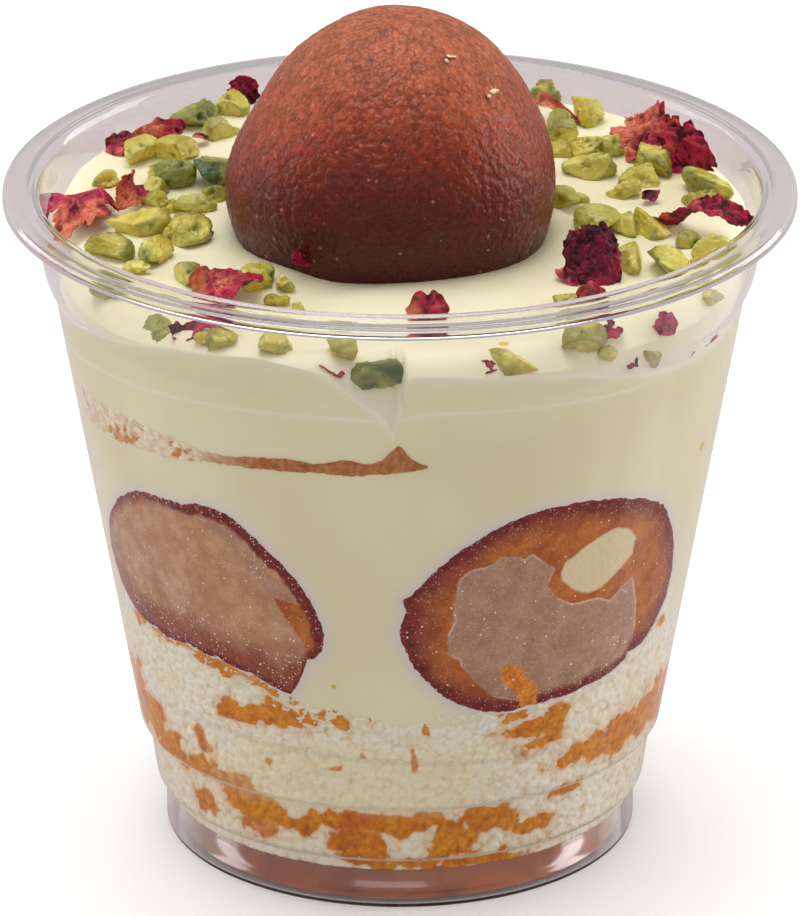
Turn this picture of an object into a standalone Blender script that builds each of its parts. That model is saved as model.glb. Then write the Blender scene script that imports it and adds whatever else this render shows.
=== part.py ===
"""Gulab jamun dessert cup.

A clear thermoformed cup holds layers of sponge and cream. Halved gulab jamun stand
against its wall, a whole one is sunk in the top cream, and chopped pistachio and dried
rose petals lie round it. The origin is at the centre of the foot, +Z is up and the
front is -Y. Lengths below are millimetres and angles are degrees; an azimuth is
measured from the front, with + to the right.
"""

import math
import random

import bpy
import bmesh
import numpy as np
from mathutils import Matrix, Vector

MM = 0.001
SEGMENTS = 40
WALL = 0.5
GAP = 0.3
SOFT_GAP = 0.6

# Outer side of the cup, read down from the lip: radius, height
LIP = [(45.8, 78.6), (45.3, 79.1), (44.6, 79.1), (43.5, 79.15), (42.6, 79.75), (42.1, 79.0)]
COLLAR_BOTTOM = (41.29, 68.5)
CONE_TOP = (40.22, 68.5)
CONE_BOTTOM = (30.64, 13.57)
BAND_TOP = (29.70, 13.57)
BAND_BOTTOM = (28.72, 6.3)
FOOT_RADIUS = 27.65
FOOT_EDGE = 0.4
FOOT_RIB_WIDTH = 3.4
FLOOR_RADIUS = 23.2
FLOOR_UNDERSIDE = 4.5

FLOOR_TOP = FLOOR_UNDERSIDE + WALL
FILLING_BOTTOM = FLOOR_TOP + GAP
SPONGE_SEAM = 19.8
CREAM_LEVEL = 74.0
JAMUN_DEPTH = 13.0
JAMUN_SIDES = 22
JAMUN_RINGS = 8
BALL_SIDES = 26
BALL_RINGS = 16
FEW_RINGS = (0.0, 0.4, 0.75, 1.0)
MANY_RINGS = (0.0, 0.3, 0.55, 0.72, 0.83, 0.91, 0.96, 1.0)

# The whole gulab jamun: centre, depth radius, and outline radii every 30 degrees, seen from
# the front and a little above, from its right-hand side round over the top
BALL_CENTRE = (-1.1, 0.0, 80.3)
BALL_DEPTH = 19.0
BALL_VIEW = 22.4
BALL_OUTLINE = [19.2, 19.0, 19.9, 20.05, 18.9, 17.8, 19.2, 18.9, 18.2, 17.8, 18.2, 19.2]

# Levels at the wall: azimuth, height
SPONGE_TOP = [(-180, 26), (-120, 24), (-88, 23), (-70, 26), (-60, 28.3), (-25, 28.2), (-18, 26.6),
              (8, 26), (14, 25.2), (52, 25.2), (62, 26), (88, 23), (125, 25)]
CREAM_EDGE = [(-180, 76), (-140, 76), (-115, 75), (-100, 72), (-88, 64.5), (-78, 67), (-63, 69),
              (-53, 70), (-38, 72), (-30, 72.7), (-23, 73.3), (-10, 72.5), (-2, 69), (5, 72.8),
              (20, 71), (30, 69.8), (37, 68.4), (45, 67), (57, 66), (75, 67), (90, 71), (105, 74),
              (140, 76)]
DISC_LOWER = [(-180, 57.5), (-90, 54.5), (-68, 55), (-50, 56.6), (-40, 57.6), (-32, 58.2),
              (-8, 58.6), (6, 59), (90, 58)]
DISC_UPPER = [(-180, 60.5), (-90, 59.4), (-68, 59.7), (-28, 59.8), (-12, 60.4), (0, 62.4),
              (6, 61.2), (90, 60.5)]
DISC_REACH = [(-180, 0.9), (-100, 0.9), (-82, 1.0), (3, 1.0), (14, 0.9)]

# Halved gulab jamun at the wall: name, azimuth, height, half width, half height, slant
HALVES = [
    ("jamun_half_front_left", -43.0, 40.3, 18.2, 11.0, -14),
    ("jamun_half_front_right", 33.5, 39.6, 19.6, 13.0, 8),
    ("jamun_half_back_right", 124.0, 40.0, 18.6, 12.0, -6),
    ("jamun_half_back_left", -136.0, 39.0, 19.0, 12.2, 10),
]

# Chopped pistachio: x, y, length, width, height, turn
PISTACHIO = [
    (-24, 31, 6.0, 3.6, 2.6, 60), (-20, 33, 4.2, 3.0, 2.4, -25), (-21, 28, 4.4, 3.2, 2.4, 50),
    (-30, 21, 5.6, 3.4, 2.6, 75), (-26.5, 21.5, 4.6, 3.6, 2.8, -15), (-26.5, 15, 5.2, 4.0, 3.0, -20),
    (-22, 15, 6.0, 4.0, 2.8, 60), (-34.5, 14.5, 3.0, 2.2, 1.8, 30), (-28, 10.5, 4.0, 2.4, 2.0, 35),
    (-26.5, 6, 4.8, 3.0, 2.6, 25), (-22.8, 6, 4.6, 2.2, 1.9, -5), (-21.5, 9, 3.4, 2.2, 1.9, 30),
    (-29, 0, 7.0, 3.2, 2.6, 8), (-24, -2, 5.8, 4.4, 2.8, 35), (-33, -7, 5.4, 3.2, 2.7, -10),
    (-28, -9, 5.4, 3.0, 2.6, 80), (-30, -13.5, 3.4, 2.0, 1.6, -30), (-24.5, -15.5, 4.4, 3.0, 2.4, 70),
    (-16, -17, 5.4, 2.8, 2.4, 75), (-13.5, -18, 2.6, 2.2, 1.8, 60), (-14, -23, 2.8, 1.8, 1.5, -10),
    (-32.5, -18.5, 5.2, 2.4, 2.0, -35), (-26, -28, 5.0, 3.0, 2.6, -50), (-20, -33, 3.8, 3.0, 2.3, 20),
    (-14, -35.5, 3.4, 2.6, 2.0, 40), (-6.5, -37, 4.2, 2.6, 2.2, -30), (-2.5, -37.6, 5.6, 3.4, 3.0, -15),
    (12, -36.5, 5.8, 3.0, 2.6, -20), (20.5, -31.5, 5.2, 3.4, 2.8, 70), (26.5, -27.5, 3.8, 3.0, 2.2, 60),
    (35.5, -13.5, 2.6, 2.2, 1.6, 40), (19, -23, 2.6, 1.8, 1.3, 10), (17.5, 34, 3.8, 2.4, 2.2, 0),
    (22, 31.5, 4.8, 3.6, 2.8, 80), (19, 27, 5.6, 3.4, 2.6, -65), (19, 22.5, 2.6, 2.2, 1.7, 0),
    (21.5, 22.5, 4.2, 3.0, 2.4, -20), (24, 21.5, 4.2, 2.8, 2.3, -50), (22.5, 17, 6.0, 3.0, 2.5, 5),
    (29, 16.5, 6.8, 3.2, 2.8, -60), (28, 12.5, 5.0, 3.2, 2.6, -30), (35.5, 10.5, 8.0, 3.0, 2.6, -50),
    (25.5, 9.5, 3.8, 2.4, 2.0, -20), (33.5, 7.5, 4.4, 2.4, 2.2, -40), (20, 8, 5.0, 2.6, 2.1, -75),
    (22, 1.5, 5.6, 4.2, 2.8, -45), (25.5, -1, 4.4, 2.6, 2.2, -60), (28.5, -3.5, 4.4, 3.0, 2.3, -55),
    (32, -6.5, 2.8, 2.4, 1.9, -40), (27, -11, 4.4, 3.4, 2.6, 50), (31.5, -12.5, 4.4, 4.0, 2.8, 0),
    (36, -7.5, 4.2, 2.8, 2.4, 45),
]

# Small rose pieces fused to the cream: x, y, length, width, turn, lean
SMALL_PETALS = [
    (-28.5, 26, 6.0, 3.4, 15, 50), (-32.5, 19.5, 3.4, 2.4, 20, 60), (-18.5, 34, 3.4, 2.2, -10, 60),
    (-23.5, 25, 2.2, 1.4, 0, 50), (18.5, 32, 5.6, 1.8, -30, 30), (17.2, -17.5, 3.0, 1.6, -60, 30),
    (-22, -31, 6.6, 2.8, 10, 35), (3, -31, 4.6, 3.6, 90, 15), (21.5, -25.5, 4.0, 2.0, 20, 20),
    (23.5, -30, 3.2, 2.6, 60, 30), (29.5, -24, 4.6, 2.8, -60, 30), (33.4, -19.5, 4.4, 2.4, 25, 40),
    (9, -37.5, 3.0, 1.6, 20, 30), (-7.5, -38, 2.2, 1.2, -20, 30), (28.8, 8.4, 1.8, 1.4, 60, 50),
]

# Large rose petals, each a piece of its own: name, x, y, z, length, width, turn, lean, curl
LARGE_PETALS = [
    ("petal_left", -36.6, 3.0, 76.6, 12.0, 6.6, 92, 0, 0.8),
    ("petal_curled", -31.6, 7.0, 78.3, 6.0, 3.4, 75, 62, 1.0),
    ("petal_back_right", 30.2, 21.0, 78.2, 13.0, 5.0, -54, 48, 0.8),
    ("petal_long_right", 31.6, -0.6, 77.0, 15.6, 3.2, -33, 10, 0.6),
    ("petal_dark_right", 22.3, -18.0, 77.5, 6.4, 8.4, 0, 34, 0.5),
    ("petal_front_left", -20.0, -21.0, 76.6, 6.6, 4.0, 5, 34, 0.8),
]

PISTACHIO_SEED = 7
PETAL_SEED = 5

COLOURS = {
    "clear_plastic": ((0.86, 0.88, 0.90, 1.0), 0.08),
    "sponge": ((0.86, 0.74, 0.52, 1.0), 0.9),
    "cream": ((0.91, 0.87, 0.69, 1.0), 0.45),
    "jamun_crumb": ((0.36, 0.19, 0.10, 1.0), 0.5),
    "jamun_skin": ((0.20, 0.055, 0.025, 1.0), 0.35),
    "rose_petal": ((0.26, 0.02, 0.07, 1.0), 0.6),
}


def clear_scene():
    """Empty the file without closing it."""
    for item in list(bpy.data.objects):
        bpy.data.objects.remove(item, do_unlink=True)


def make_collection(name):
    """A collection of that name under the scene's own."""
    group = bpy.data.collections.new(name)
    bpy.context.scene.collection.children.link(group)
    return group


def make_material(name):
    """A Principled material in the part's colour."""
    colour, roughness = COLOURS[name]
    material = bpy.data.materials.get(name)
    if material is None:
        material = bpy.data.materials.new(name)
        material.use_nodes = True
        shader = material.node_tree.nodes["Principled BSDF"]
        shader.inputs["Base Color"].default_value = colour
        shader.inputs["Roughness"].default_value = roughness
        shader.inputs["Metallic"].default_value = 0.0
        material.diffuse_color = colour
    return material


def add_object(name, mesh, group, material):
    """Put a mesh into its collection with its material."""
    item = bpy.data.objects.new(name, mesh)
    group.objects.link(item)
    if material is not None:
        mesh.materials.append(make_material(material))
    return item


def add_cutter(name, mesh, group):
    """A guide solid that only takes part in Booleans."""
    item = add_object(name, mesh, group, None)
    item.hide_render = True
    item.display_type = "WIRE"
    return item


def ring_value(table, azimuth):
    """Height or share from a list round the cup, at azimuths in degrees."""
    angles, values = zip(*table)
    return np.interp(azimuth, angles, values, period=360)


def azimuth_of(x, y):
    """Degrees from the front, + to the right."""
    return np.degrees(np.arctan2(x, -y))


def cone_radius(z):
    """Outer radius of the cup's cone, carried straight on past both of its ends."""
    share = (z - CONE_BOTTOM[1]) / (CONE_TOP[1] - CONE_BOTTOM[1])
    return CONE_BOTTOM[0] + share * (CONE_TOP[0] - CONE_BOTTOM[0])


def filling_radius(z):
    """Radius of the filling's side against the cone."""
    return cone_radius(z) - WALL - GAP


def sponge_seam(x, y):
    """Height of the seam between the two slices of the sponge base."""
    return SPONGE_SEAM - 0.05 * x + 0.35 * np.sin(0.21 * x + 0.13 * y)


def sponge_top(x, y):
    """Height of the sponge base, uneven, and lower under the halves on the right."""
    share = np.clip(np.hypot(x, y) / 31.0, 0, 1) ** 2
    middle = 26.5 + 0.3 * np.sin(0.2 * x + 0.1 * y)
    edge = ring_value(SPONGE_TOP, azimuth_of(x, y)) + 0.3 * np.sin(0.3 * x + 0.2 * y)
    return middle + share * (edge - middle)


def disc_lower(x, y):
    """Underside of the sponge disc between the two creams."""
    share = np.clip(np.hypot(x, y) / 36.0, 0, 1) ** 2
    return 57.6 + share * (ring_value(DISC_LOWER, azimuth_of(x, y)) - 57.6)


def disc_upper(x, y):
    """Upper side of the sponge disc."""
    share = np.clip(np.hypot(x, y) / 36.0, 0, 1) ** 2
    return 60.4 + share * (ring_value(DISC_UPPER, azimuth_of(x, y)) - 60.4)


def cream_split(x, y):
    """Level at which the two creams meet, hidden by the disc where that shows."""
    return 0.5 * (disc_lower(x, y) + disc_upper(x, y))


def cream_top(x, y):
    """Top of the cream: nearly level, higher behind, rounded down to its edge at the wall."""
    edge = ring_value(CREAM_EDGE, azimuth_of(x, y))
    level = CREAM_LEVEL + 2.2 * np.clip(y / 35, 0, 1) ** 1.3 - 0.3 * np.clip(-y / 35, 0, 1)
    level = level + 0.25 * np.sin(0.23 * x + 0.4) * np.cos(0.19 * y)
    width = 3.0 + 0.55 * np.maximum(level - edge, 0)
    inward = np.clip((filling_radius(CREAM_LEVEL) - np.hypot(x, y)) / width, 0, 1)
    return edge + (level - edge) * (1 - (1 - inward) ** 3)


def turned_mesh(name, profile, segments, thickness=0.0):
    """Turn a profile of (radius, height) about Z, as a solid or as a sheet."""
    mesh = bpy.data.meshes.new(name + "_profile")
    rows = [(radius * MM, 0.0, height * MM) for radius, height in profile]
    mesh.from_pydata(rows, [(i, i + 1) for i in range(len(rows) - 1)], [])
    item = bpy.data.objects.new(name + "_profile", mesh)
    bpy.context.scene.collection.objects.link(item)
    screw = item.modifiers.new("turn", "SCREW")
    screw.axis = "Z"
    screw.steps = segments
    screw.render_steps = segments
    screw.use_merge_vertices = True
    screw.merge_threshold = 0.00001
    if thickness:
        sheet = item.modifiers.new("sheet", "SOLIDIFY")
        sheet.thickness = thickness * MM
        sheet.offset = -1.0
        sheet.use_even_offset = True
    return applied_mesh(item, name)


def applied_mesh(item, name):
    """The object's mesh with its modifiers applied; the object is removed."""
    graph = bpy.context.evaluated_depsgraph_get()
    mesh = bpy.data.meshes.new_from_object(item.evaluated_get(graph), depsgraph=graph)
    mesh.name = name
    bpy.data.objects.remove(item, do_unlink=True)
    return mesh


def layer_mesh(name, lower, upper, rings, side_rows=(), reach=None):
    """A turned disc whose two faces are then shaped by lower(x, y) and upper(x, y).

    rings lists the upper face's ring radii as shares of the full one. side_rows lists
    (radius, height) rows of a stepped side, from the top down. reach shortens the radius
    by azimuth.
    """
    top = [(share, 2.0) for share in rings]
    side = [(1.0, 1.0 - (i + 1) / (len(side_rows) + 1)) for i in range(len(side_rows))]
    bottom = [(share, -2.0) for share in reversed(FEW_RINGS)]
    mesh = turned_mesh(name, [(u * 1000, v * 1000) for u, v in top + side + bottom], SEGMENTS)
    points = np.array([vertex.co[:] for vertex in mesh.vertices])
    share = np.hypot(points[:, 0], points[:, 1])
    turn = np.arctan2(points[:, 1], points[:, 0])
    azimuth = azimuth_of(np.cos(turn), np.sin(turn))
    scale = share * (1.0 if reach is None else ring_value(reach, azimuth))
    place = np.zeros_like(points)
    for row in range(len(points)):
        level = points[row, 2]
        if abs(level) < 1.5:
            radius, height = side_rows[int(round((1.0 - level) * (len(side_rows) + 1))) - 1]
        else:
            face = upper if level > 0 else lower
            radius, height = settle_on(face, turn[row], scale[row])
        place[row] = (radius * math.cos(turn[row]), radius * math.sin(turn[row]), height)
    mesh.vertices.foreach_set("co", (place * MM).ravel())
    return mesh


def settle_on(face, turn, scale):
    """Radius and height of a point on a face, at a share of the filling's radius there."""
    radius = scale * filling_radius(CREAM_LEVEL)
    height = 0.0
    for _ in range(6):
        height = float(face(radius * math.cos(turn), radius * math.sin(turn)))
        radius = scale * filling_radius(height)
    return radius, height


def half_point(half, across, up, depth):
    """Place on the filling's side: distances along the wall, up it and in from it."""
    _, azimuth, height, _, _, _ = half
    z = height + up
    wall = filling_radius(z)
    angle = math.radians(azimuth) + across / filling_radius(height)
    radius = wall - depth
    return Vector((radius * math.sin(angle), -radius * math.cos(angle), z)) * MM


def half_mesh(half, name, grow=0.0):
    """A sphere pressed flat on the wall's side: one half of a gulab jamun, cut face outwards."""
    _, _, _, half_width, half_height, slant = half
    form = bmesh.new()
    bmesh.ops.create_uvsphere(form, u_segments=JAMUN_SIDES, v_segments=JAMUN_RINGS, radius=1.0)
    cosine = math.cos(math.radians(slant))
    sine = math.sin(math.radians(slant))
    for vertex in form.verts:
        spread = math.hypot(vertex.co.x, vertex.co.y)
        turn = math.atan2(vertex.co.y, vertex.co.x)
        uneven = 1 + 0.03 * math.sin(2 * turn + half_width) + 0.02 * math.sin(3 * turn + half_height)
        if vertex.co.z > -0.01:
            depth = (JAMUN_DEPTH + grow) * vertex.co.z
        else:
            spread = math.acos(min(1.0, -vertex.co.z)) / (0.5 * math.pi)
            depth = -5.0 * grow
        across = (half_width * uneven + grow) * spread * math.cos(turn)
        up = (half_height * uneven + grow) * spread * math.sin(turn)
        vertex.co = half_point(half, across * cosine - up * sine, across * sine + up * cosine, depth)
    bmesh.ops.reverse_faces(form, faces=form.faces)
    mesh = bpy.data.meshes.new(name)
    form.to_mesh(mesh)
    form.free()
    return mesh


def ball_mesh(name, segments, rings, grow=0.0):
    """The whole gulab jamun: a sphere drawn out to its outline, with poles front and back."""
    tilt = math.radians(BALL_VIEW)
    right = Vector((1, 0, 0))
    up = Vector((0, math.sin(tilt), math.cos(tilt)))
    front = Vector((0, -math.cos(tilt), math.sin(tilt)))
    angles = np.arange(0, 360, 30)
    form = bmesh.new()
    bmesh.ops.create_uvsphere(form, u_segments=segments, v_segments=rings, radius=1.0)
    for vertex in form.verts:
        turn = math.degrees(math.atan2(vertex.co.y, vertex.co.x))
        outline = float(smooth_ring(BALL_OUTLINE, turn)) + grow
        spread = Vector((vertex.co.x, vertex.co.y)) * outline
        depth = vertex.co.z * (BALL_DEPTH + grow)
        vertex.co = (Vector(BALL_CENTRE) + right * spread.x + up * spread.y + front * depth) * MM
    bmesh.ops.recalc_face_normals(form, faces=form.faces)
    mesh = bpy.data.meshes.new(name)
    form.to_mesh(mesh)
    form.free()
    return mesh


def smooth_ring(values, turn):
    """A value on a smooth closed curve through values at equal angles."""
    count = len(values)
    place = (turn % 360) / 360 * count
    index = int(place) % count
    share = place - int(place)
    a, b, c, d = (values[(index + step) % count] for step in (-1, 0, 1, 2))
    return b + 0.5 * share * (c - a + share * (2 * a - 5 * b + 4 * c - d + share * (3 * (b - c) + d - a)))


def nut_mesh(name, row, chance):
    """An uneven faceted piece of pistachio, its lower third sunk into the cream."""
    x, y, length, width, height, turn = row
    form = bmesh.new()
    bmesh.ops.create_icosphere(form, subdivisions=1, radius=0.5)
    for vertex in form.verts:
        vertex.co *= 1 + chance.uniform(-0.14, 0.14)
        vertex.co.x *= length
        vertex.co.y *= width
        vertex.co.z *= height
    lean = Matrix.Rotation(math.radians(chance.uniform(-14, 14)), 4, "X")
    spin = Matrix.Rotation(math.radians(turn), 4, "Z")
    level = float(cream_top(x, y)) + 0.2 * height
    place = Matrix.Translation((x, y, level))
    bmesh.ops.transform(form, matrix=Matrix.Scale(MM, 4) @ place @ spin @ lean, verts=form.verts)
    mesh = bpy.data.meshes.new(name)
    form.to_mesh(mesh)
    form.free()
    return mesh


def petal_mesh(name, row, columns, rows, thickness, chance):
    """A thin wavy leaf: a grid cut to a ragged oval, curled, and thickened as triangles."""
    x, y, z, length, width, turn, lean, curl = row
    form = bmesh.new()
    bmesh.ops.create_grid(form, x_segments=columns, y_segments=rows, size=1.0)
    phase = chance.uniform(0, 6.28)
    for vertex in form.verts:
        u, v = vertex.co.x, vertex.co.y
        taper = math.sqrt(max(0.0, 1 - 0.72 * u * u))
        ragged = 1 + 0.12 * math.sin(5 * u + phase) + chance.uniform(-0.08, 0.08)
        wave = 0.35 * curl * math.sin(3.2 * u + phase) + curl * (0.55 * v * v - 0.2)
        vertex.co = Vector((0.5 * length * u, 0.5 * width * v * taper * ragged, wave))
    bmesh.ops.triangulate(form, faces=form.faces)
    tip = Matrix.Rotation(math.radians(lean), 4, "X")
    spin = Matrix.Rotation(math.radians(turn), 4, "Z")
    place = Matrix.Translation((x, y, z))
    bmesh.ops.transform(form, matrix=Matrix.Scale(MM, 4) @ place @ spin @ tip, verts=form.verts)
    mesh = bpy.data.meshes.new(name + "_face")
    form.to_mesh(mesh)
    form.free()
    item = bpy.data.objects.new(name + "_face", mesh)
    bpy.context.scene.collection.objects.link(item)
    sheet = item.modifiers.new("sheet", "SOLIDIFY")
    sheet.thickness = thickness * MM
    sheet.offset = 0.0
    return applied_mesh(item, name)


def boolean(item, operation, other):
    """Apply a Boolean with one object or with a collection of them."""
    change = item.modifiers.new(operation.lower(), "BOOLEAN")
    change.operation = operation
    change.solver = "EXACT"
    if isinstance(other, bpy.types.Collection):
        change.operand_type = "COLLECTION"
        change.collection = other
    else:
        change.object = other
    graph = bpy.context.evaluated_depsgraph_get()
    mesh = bpy.data.meshes.new_from_object(item.evaluated_get(graph), depsgraph=graph)
    item.modifiers.clear()
    item.data = mesh


def clean_mesh(item):
    """Join corners that a Boolean left closer than a micrometre, and drop loose scraps."""
    form = bmesh.new()
    form.from_mesh(item.data)
    bmesh.ops.remove_doubles(form, verts=form.verts, dist=0.000002)
    bmesh.ops.dissolve_degenerate(form, edges=form.edges, dist=0.000002)
    bmesh.ops.triangulate(form, faces=form.faces)
    form.to_mesh(item.data)
    form.free()


def make_cup(group):
    """The cup: one thermoformed sheet, from the rolled lip to the raised floor."""
    foot_inner = FOOT_RADIUS - FOOT_RIB_WIDTH
    foot = [(FOOT_RADIUS, BAND_BOTTOM[1]), (FOOT_RADIUS - 0.1, FOOT_EDGE), (FOOT_RADIUS - FOOT_EDGE, 0.0),
            (foot_inner + FOOT_EDGE, 0.0), (foot_inner, FOOT_EDGE), (FLOOR_RADIUS + 0.4, FLOOR_UNDERSIDE - 0.4),
            (FLOOR_RADIUS, FLOOR_UNDERSIDE), (0.0, FLOOR_UNDERSIDE)]
    profile = LIP + [COLLAR_BOTTOM, CONE_TOP, CONE_BOTTOM, BAND_TOP, BAND_BOTTOM] + foot
    add_object("cup", turned_mesh("cup", profile, SEGMENTS, WALL), group, "clear_plastic")


def make_sponge(group):
    """The sponge base in two slices, the lower one stepped as the cup's band and foot are."""
    inset = WALL + GAP
    step_low = BAND_BOTTOM[1] + inset
    step_high = BAND_TOP[1] + inset
    rows = [(filling_radius(step_high), step_high), (BAND_TOP[0] - inset, step_high),
            (BAND_BOTTOM[0] - inset, step_low), (FOOT_RADIUS - inset, step_low)]
    lower = layer_mesh("sponge_lower", lambda x, y: FILLING_BOTTOM,
                       lambda x, y: sponge_seam(x, y) - 0.5 * GAP, FEW_RINGS, rows)
    fit_floor_ring(lower, FOOT_RADIUS - inset)
    add_object("sponge_lower", lower, group, "sponge")
    upper = layer_mesh("sponge_upper", lambda x, y: sponge_seam(x, y) + 0.5 * GAP,
                       lambda x, y: sponge_top(x, y) - 0.5 * SOFT_GAP, FEW_RINGS)
    add_object("sponge_upper", upper, group, "sponge")


def fit_floor_ring(mesh, radius):
    """Draw the lowest face of the filling in to the cup's raised floor."""
    limit = filling_radius(FILLING_BOTTOM) * MM
    for vertex in mesh.vertices:
        if vertex.co.z < (FILLING_BOTTOM + 0.01) * MM:
            vertex.co.x *= radius * MM / limit
            vertex.co.y *= radius * MM / limit


def make_halves(group, guides):
    """The halved gulab jamun at the wall, with the guides that make room for them."""
    cutters = []
    for half in HALVES:
        name = half[0]
        add_object(name, half_mesh(half, name), group, "jamun_crumb")
        cutters.append(add_cutter(name + "_room", half_mesh(half, name + "_room", GAP), guides))
    return cutters


def make_disc(group, guides):
    """The tilted sponge disc that shows at the wall on the left of the front."""
    disc = layer_mesh("sponge_disc", disc_lower, disc_upper, FEW_RINGS, reach=DISC_REACH)
    add_object("sponge_disc", disc, group, "sponge")
    reach = [(azimuth, share + 0.012 + 0.05 * (share == 1.0)) for azimuth, share in DISC_REACH]
    room = layer_mesh("disc_room", lambda x, y: disc_lower(x, y) - GAP,
                      lambda x, y: disc_upper(x, y) + GAP, FEW_RINGS, reach=reach)
    return add_cutter("disc_room", room, guides)


def make_cream(group, halves, disc, ball):
    """The lower cream round the halves, and the upper one with all that lies on it."""
    lower = layer_mesh("cream_lower", lambda x, y: sponge_top(x, y) + 0.5 * SOFT_GAP,
                       lambda x, y: cream_split(x, y) - 0.5 * GAP, FEW_RINGS)
    cream = add_object("cream_lower", lower, group, "cream")
    for cutter in halves + [disc]:
        boolean(cream, "DIFFERENCE", cutter)
    clean_mesh(cream)
    upper = layer_mesh("cream_top", lambda x, y: cream_split(x, y) + 0.5 * GAP, cream_top, MANY_RINGS)
    top = add_object("cream_top", upper, group, "cream")
    toppings = make_collection("toppings")
    chance = random.Random(PISTACHIO_SEED)
    for index, row in enumerate(PISTACHIO):
        name = "pistachio_%02d" % index
        add_object(name, nut_mesh(name, row, chance), toppings, None)
    chance = random.Random(PETAL_SEED)
    for index, (x, y, length, width, turn, lean) in enumerate(SMALL_PETALS):
        name = "small_petal_%02d" % index
        row = (x, y, float(cream_top(x, y)) + 0.15, length, width, turn, lean, 0.5)
        add_object(name, petal_mesh(name, row, 3, 2, 0.5, chance), toppings, None)
    boolean(top, "UNION", toppings)
    for item in list(toppings.objects):
        bpy.data.objects.remove(item, do_unlink=True)
    bpy.data.collections.remove(toppings)
    boolean(top, "DIFFERENCE", ball)
    boolean(top, "DIFFERENCE", disc)
    clean_mesh(top)


def make_ball(group, guides):
    """The whole gulab jamun sunk in the top cream."""
    add_object("jamun_whole", ball_mesh("jamun_whole", BALL_SIDES, BALL_RINGS), group, "jamun_skin")
    return add_cutter("ball_room", ball_mesh("ball_room", BALL_SIDES, BALL_RINGS, GAP), guides)


def make_petals(group):
    """The large rose petals, each clear of the cream and the pistachio."""
    chance = random.Random(PETAL_SEED + 1)
    for row in LARGE_PETALS:
        name = row[0]
        mesh = petal_mesh(name, row[1:], 6, 4, 0.4, chance)
        add_object(name, mesh, group, "rose_petal")


def main():
    clear_scene()
    group = make_collection("gulab_jamun_cup")
    guides = make_collection("guides")
    make_cup(group)
    make_sponge(group)
    halves = make_halves(group, guides)
    disc = make_disc(group, guides)
    ball = make_ball(group, guides)
    make_cream(group, halves, disc, ball)
    make_petals(group)
    for item in group.objects:
        item.data.shade_smooth()
        item.data.set_sharp_from_angle(angle=math.radians(35))


main()
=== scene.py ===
"""Looks of the gulab jamun dessert cup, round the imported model.

Lengths are millimetres until a mesh is made. An azimuth is in degrees from the front (-Y),
with + to the right, and +Z is up. Places read from the picture are pixels of its frame.
"""
import math

import bmesh
import bpy
import numpy as np
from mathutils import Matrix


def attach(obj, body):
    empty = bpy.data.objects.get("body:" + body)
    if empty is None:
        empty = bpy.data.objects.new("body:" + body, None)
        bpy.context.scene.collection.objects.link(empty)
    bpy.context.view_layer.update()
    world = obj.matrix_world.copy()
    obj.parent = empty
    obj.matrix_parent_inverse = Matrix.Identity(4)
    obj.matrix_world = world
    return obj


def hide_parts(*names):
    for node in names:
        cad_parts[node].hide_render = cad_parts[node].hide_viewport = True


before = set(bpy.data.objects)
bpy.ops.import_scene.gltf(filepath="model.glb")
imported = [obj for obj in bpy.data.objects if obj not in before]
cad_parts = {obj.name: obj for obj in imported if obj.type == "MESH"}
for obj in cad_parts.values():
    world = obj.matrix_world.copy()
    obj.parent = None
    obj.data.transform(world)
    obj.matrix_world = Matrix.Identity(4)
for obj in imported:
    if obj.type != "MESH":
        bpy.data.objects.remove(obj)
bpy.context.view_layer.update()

MM = 0.001

# Camera, fitted to the outline of the cup
CAMERA_BACK = 1027.2
CAMERA_HEIGHT = 468.6
CAMERA_DOWN = 22.395
PIXEL_FOCUS = 9498.0
PICTURE = (800, 916)
SENSOR = 36.0

# Cup: the middle of its sheet from the lip down to the raised floor, as radius and height
SHEET = 0.5
CUP_LINE = [
    (45.72, 78.8), (45.66, 79.35), (44.6, 79.5), (43.55, 79.3), (42.65, 80.1), (41.88, 79.2),
    (41.3, 71.4), (40.75, 69.3), (39.93, 67.9), (30.4, 14.0),
    (29.46, 13.62), (28.5, 6.74), (27.42, 6.36), (27.38, 0.6), (27.0, 0.26), (24.7, 0.26),
    (24.35, 0.6), (23.5, 4.3), (22.9, 4.75), (0.0, 4.75),
]
CUP_CORNER = 0.8
CORNER_STEP = 8.0
LONGEST_SPAN = 4.0
LIP_SLOPE = 0.5
# Heights of the cup's ledges, where a highlight is painted on the sponge's side
LEDGES = (13.95, 6.7)
CUP_COLUMNS = 264

# Stretch of the cup's inner side that the contents lean on
WALL_FROM = 0.9
WALL_TO = 79.5
WALL_LEAST_RADIUS = 26.0

# How far the contents stand into the wall, so that no air shows
CREAM_IN_WALL = 0.12
HALF_IN_WALL = 0.24
SPONGE_IN_WALL = 0.36

# The creams meet this far above the disc's lower edge, and past it fall back by JOINT_FALL d^2
JOINT_RISE = 0.7
JOINT_FALL = 0.4

# Levels at the wall: azimuth, height
SPONGE_FLOOR = [(-180, 5.3), (0, 5.3)]
CREAM_EDGE = [
    (-180, 76), (-140, 76), (-115, 75), (-100, 72), (-88, 64.5), (-78, 67), (-63, 69), (-53, 70),
    (-38, 72), (-30, 72.7), (-23, 73.3), (-17, 72.8), (-13.5, 72.4), (-10, 70.95), (-6.7, 68.6),
    (-4.1, 66.9), (-2.1, 65.2), (-1.3, 63.9), (-1.0, 63.8), (-0.5, 66.4), (0.4, 68), (0.7, 70.2),
    (1.1, 71.4), (2.2, 71.9), (4.6, 72.0), (8.6, 71.7), (13, 71.1), (20, 71), (30, 69.8), (37, 68.4),
    (45, 67), (57, 66), (75, 67), (90, 71), (105, 74), (140, 76),
]
CREAM_LEVEL = 74.0
# Height of a painted highlight line on the cream's side
CREASE_HIGHLIGHT = [
    (-180, 66), (-75, 63.2), (-60, 64.3), (-30, 65.7), (-10, 66.2), (-3, 66), (6, 67), (40, 66),
]
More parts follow.
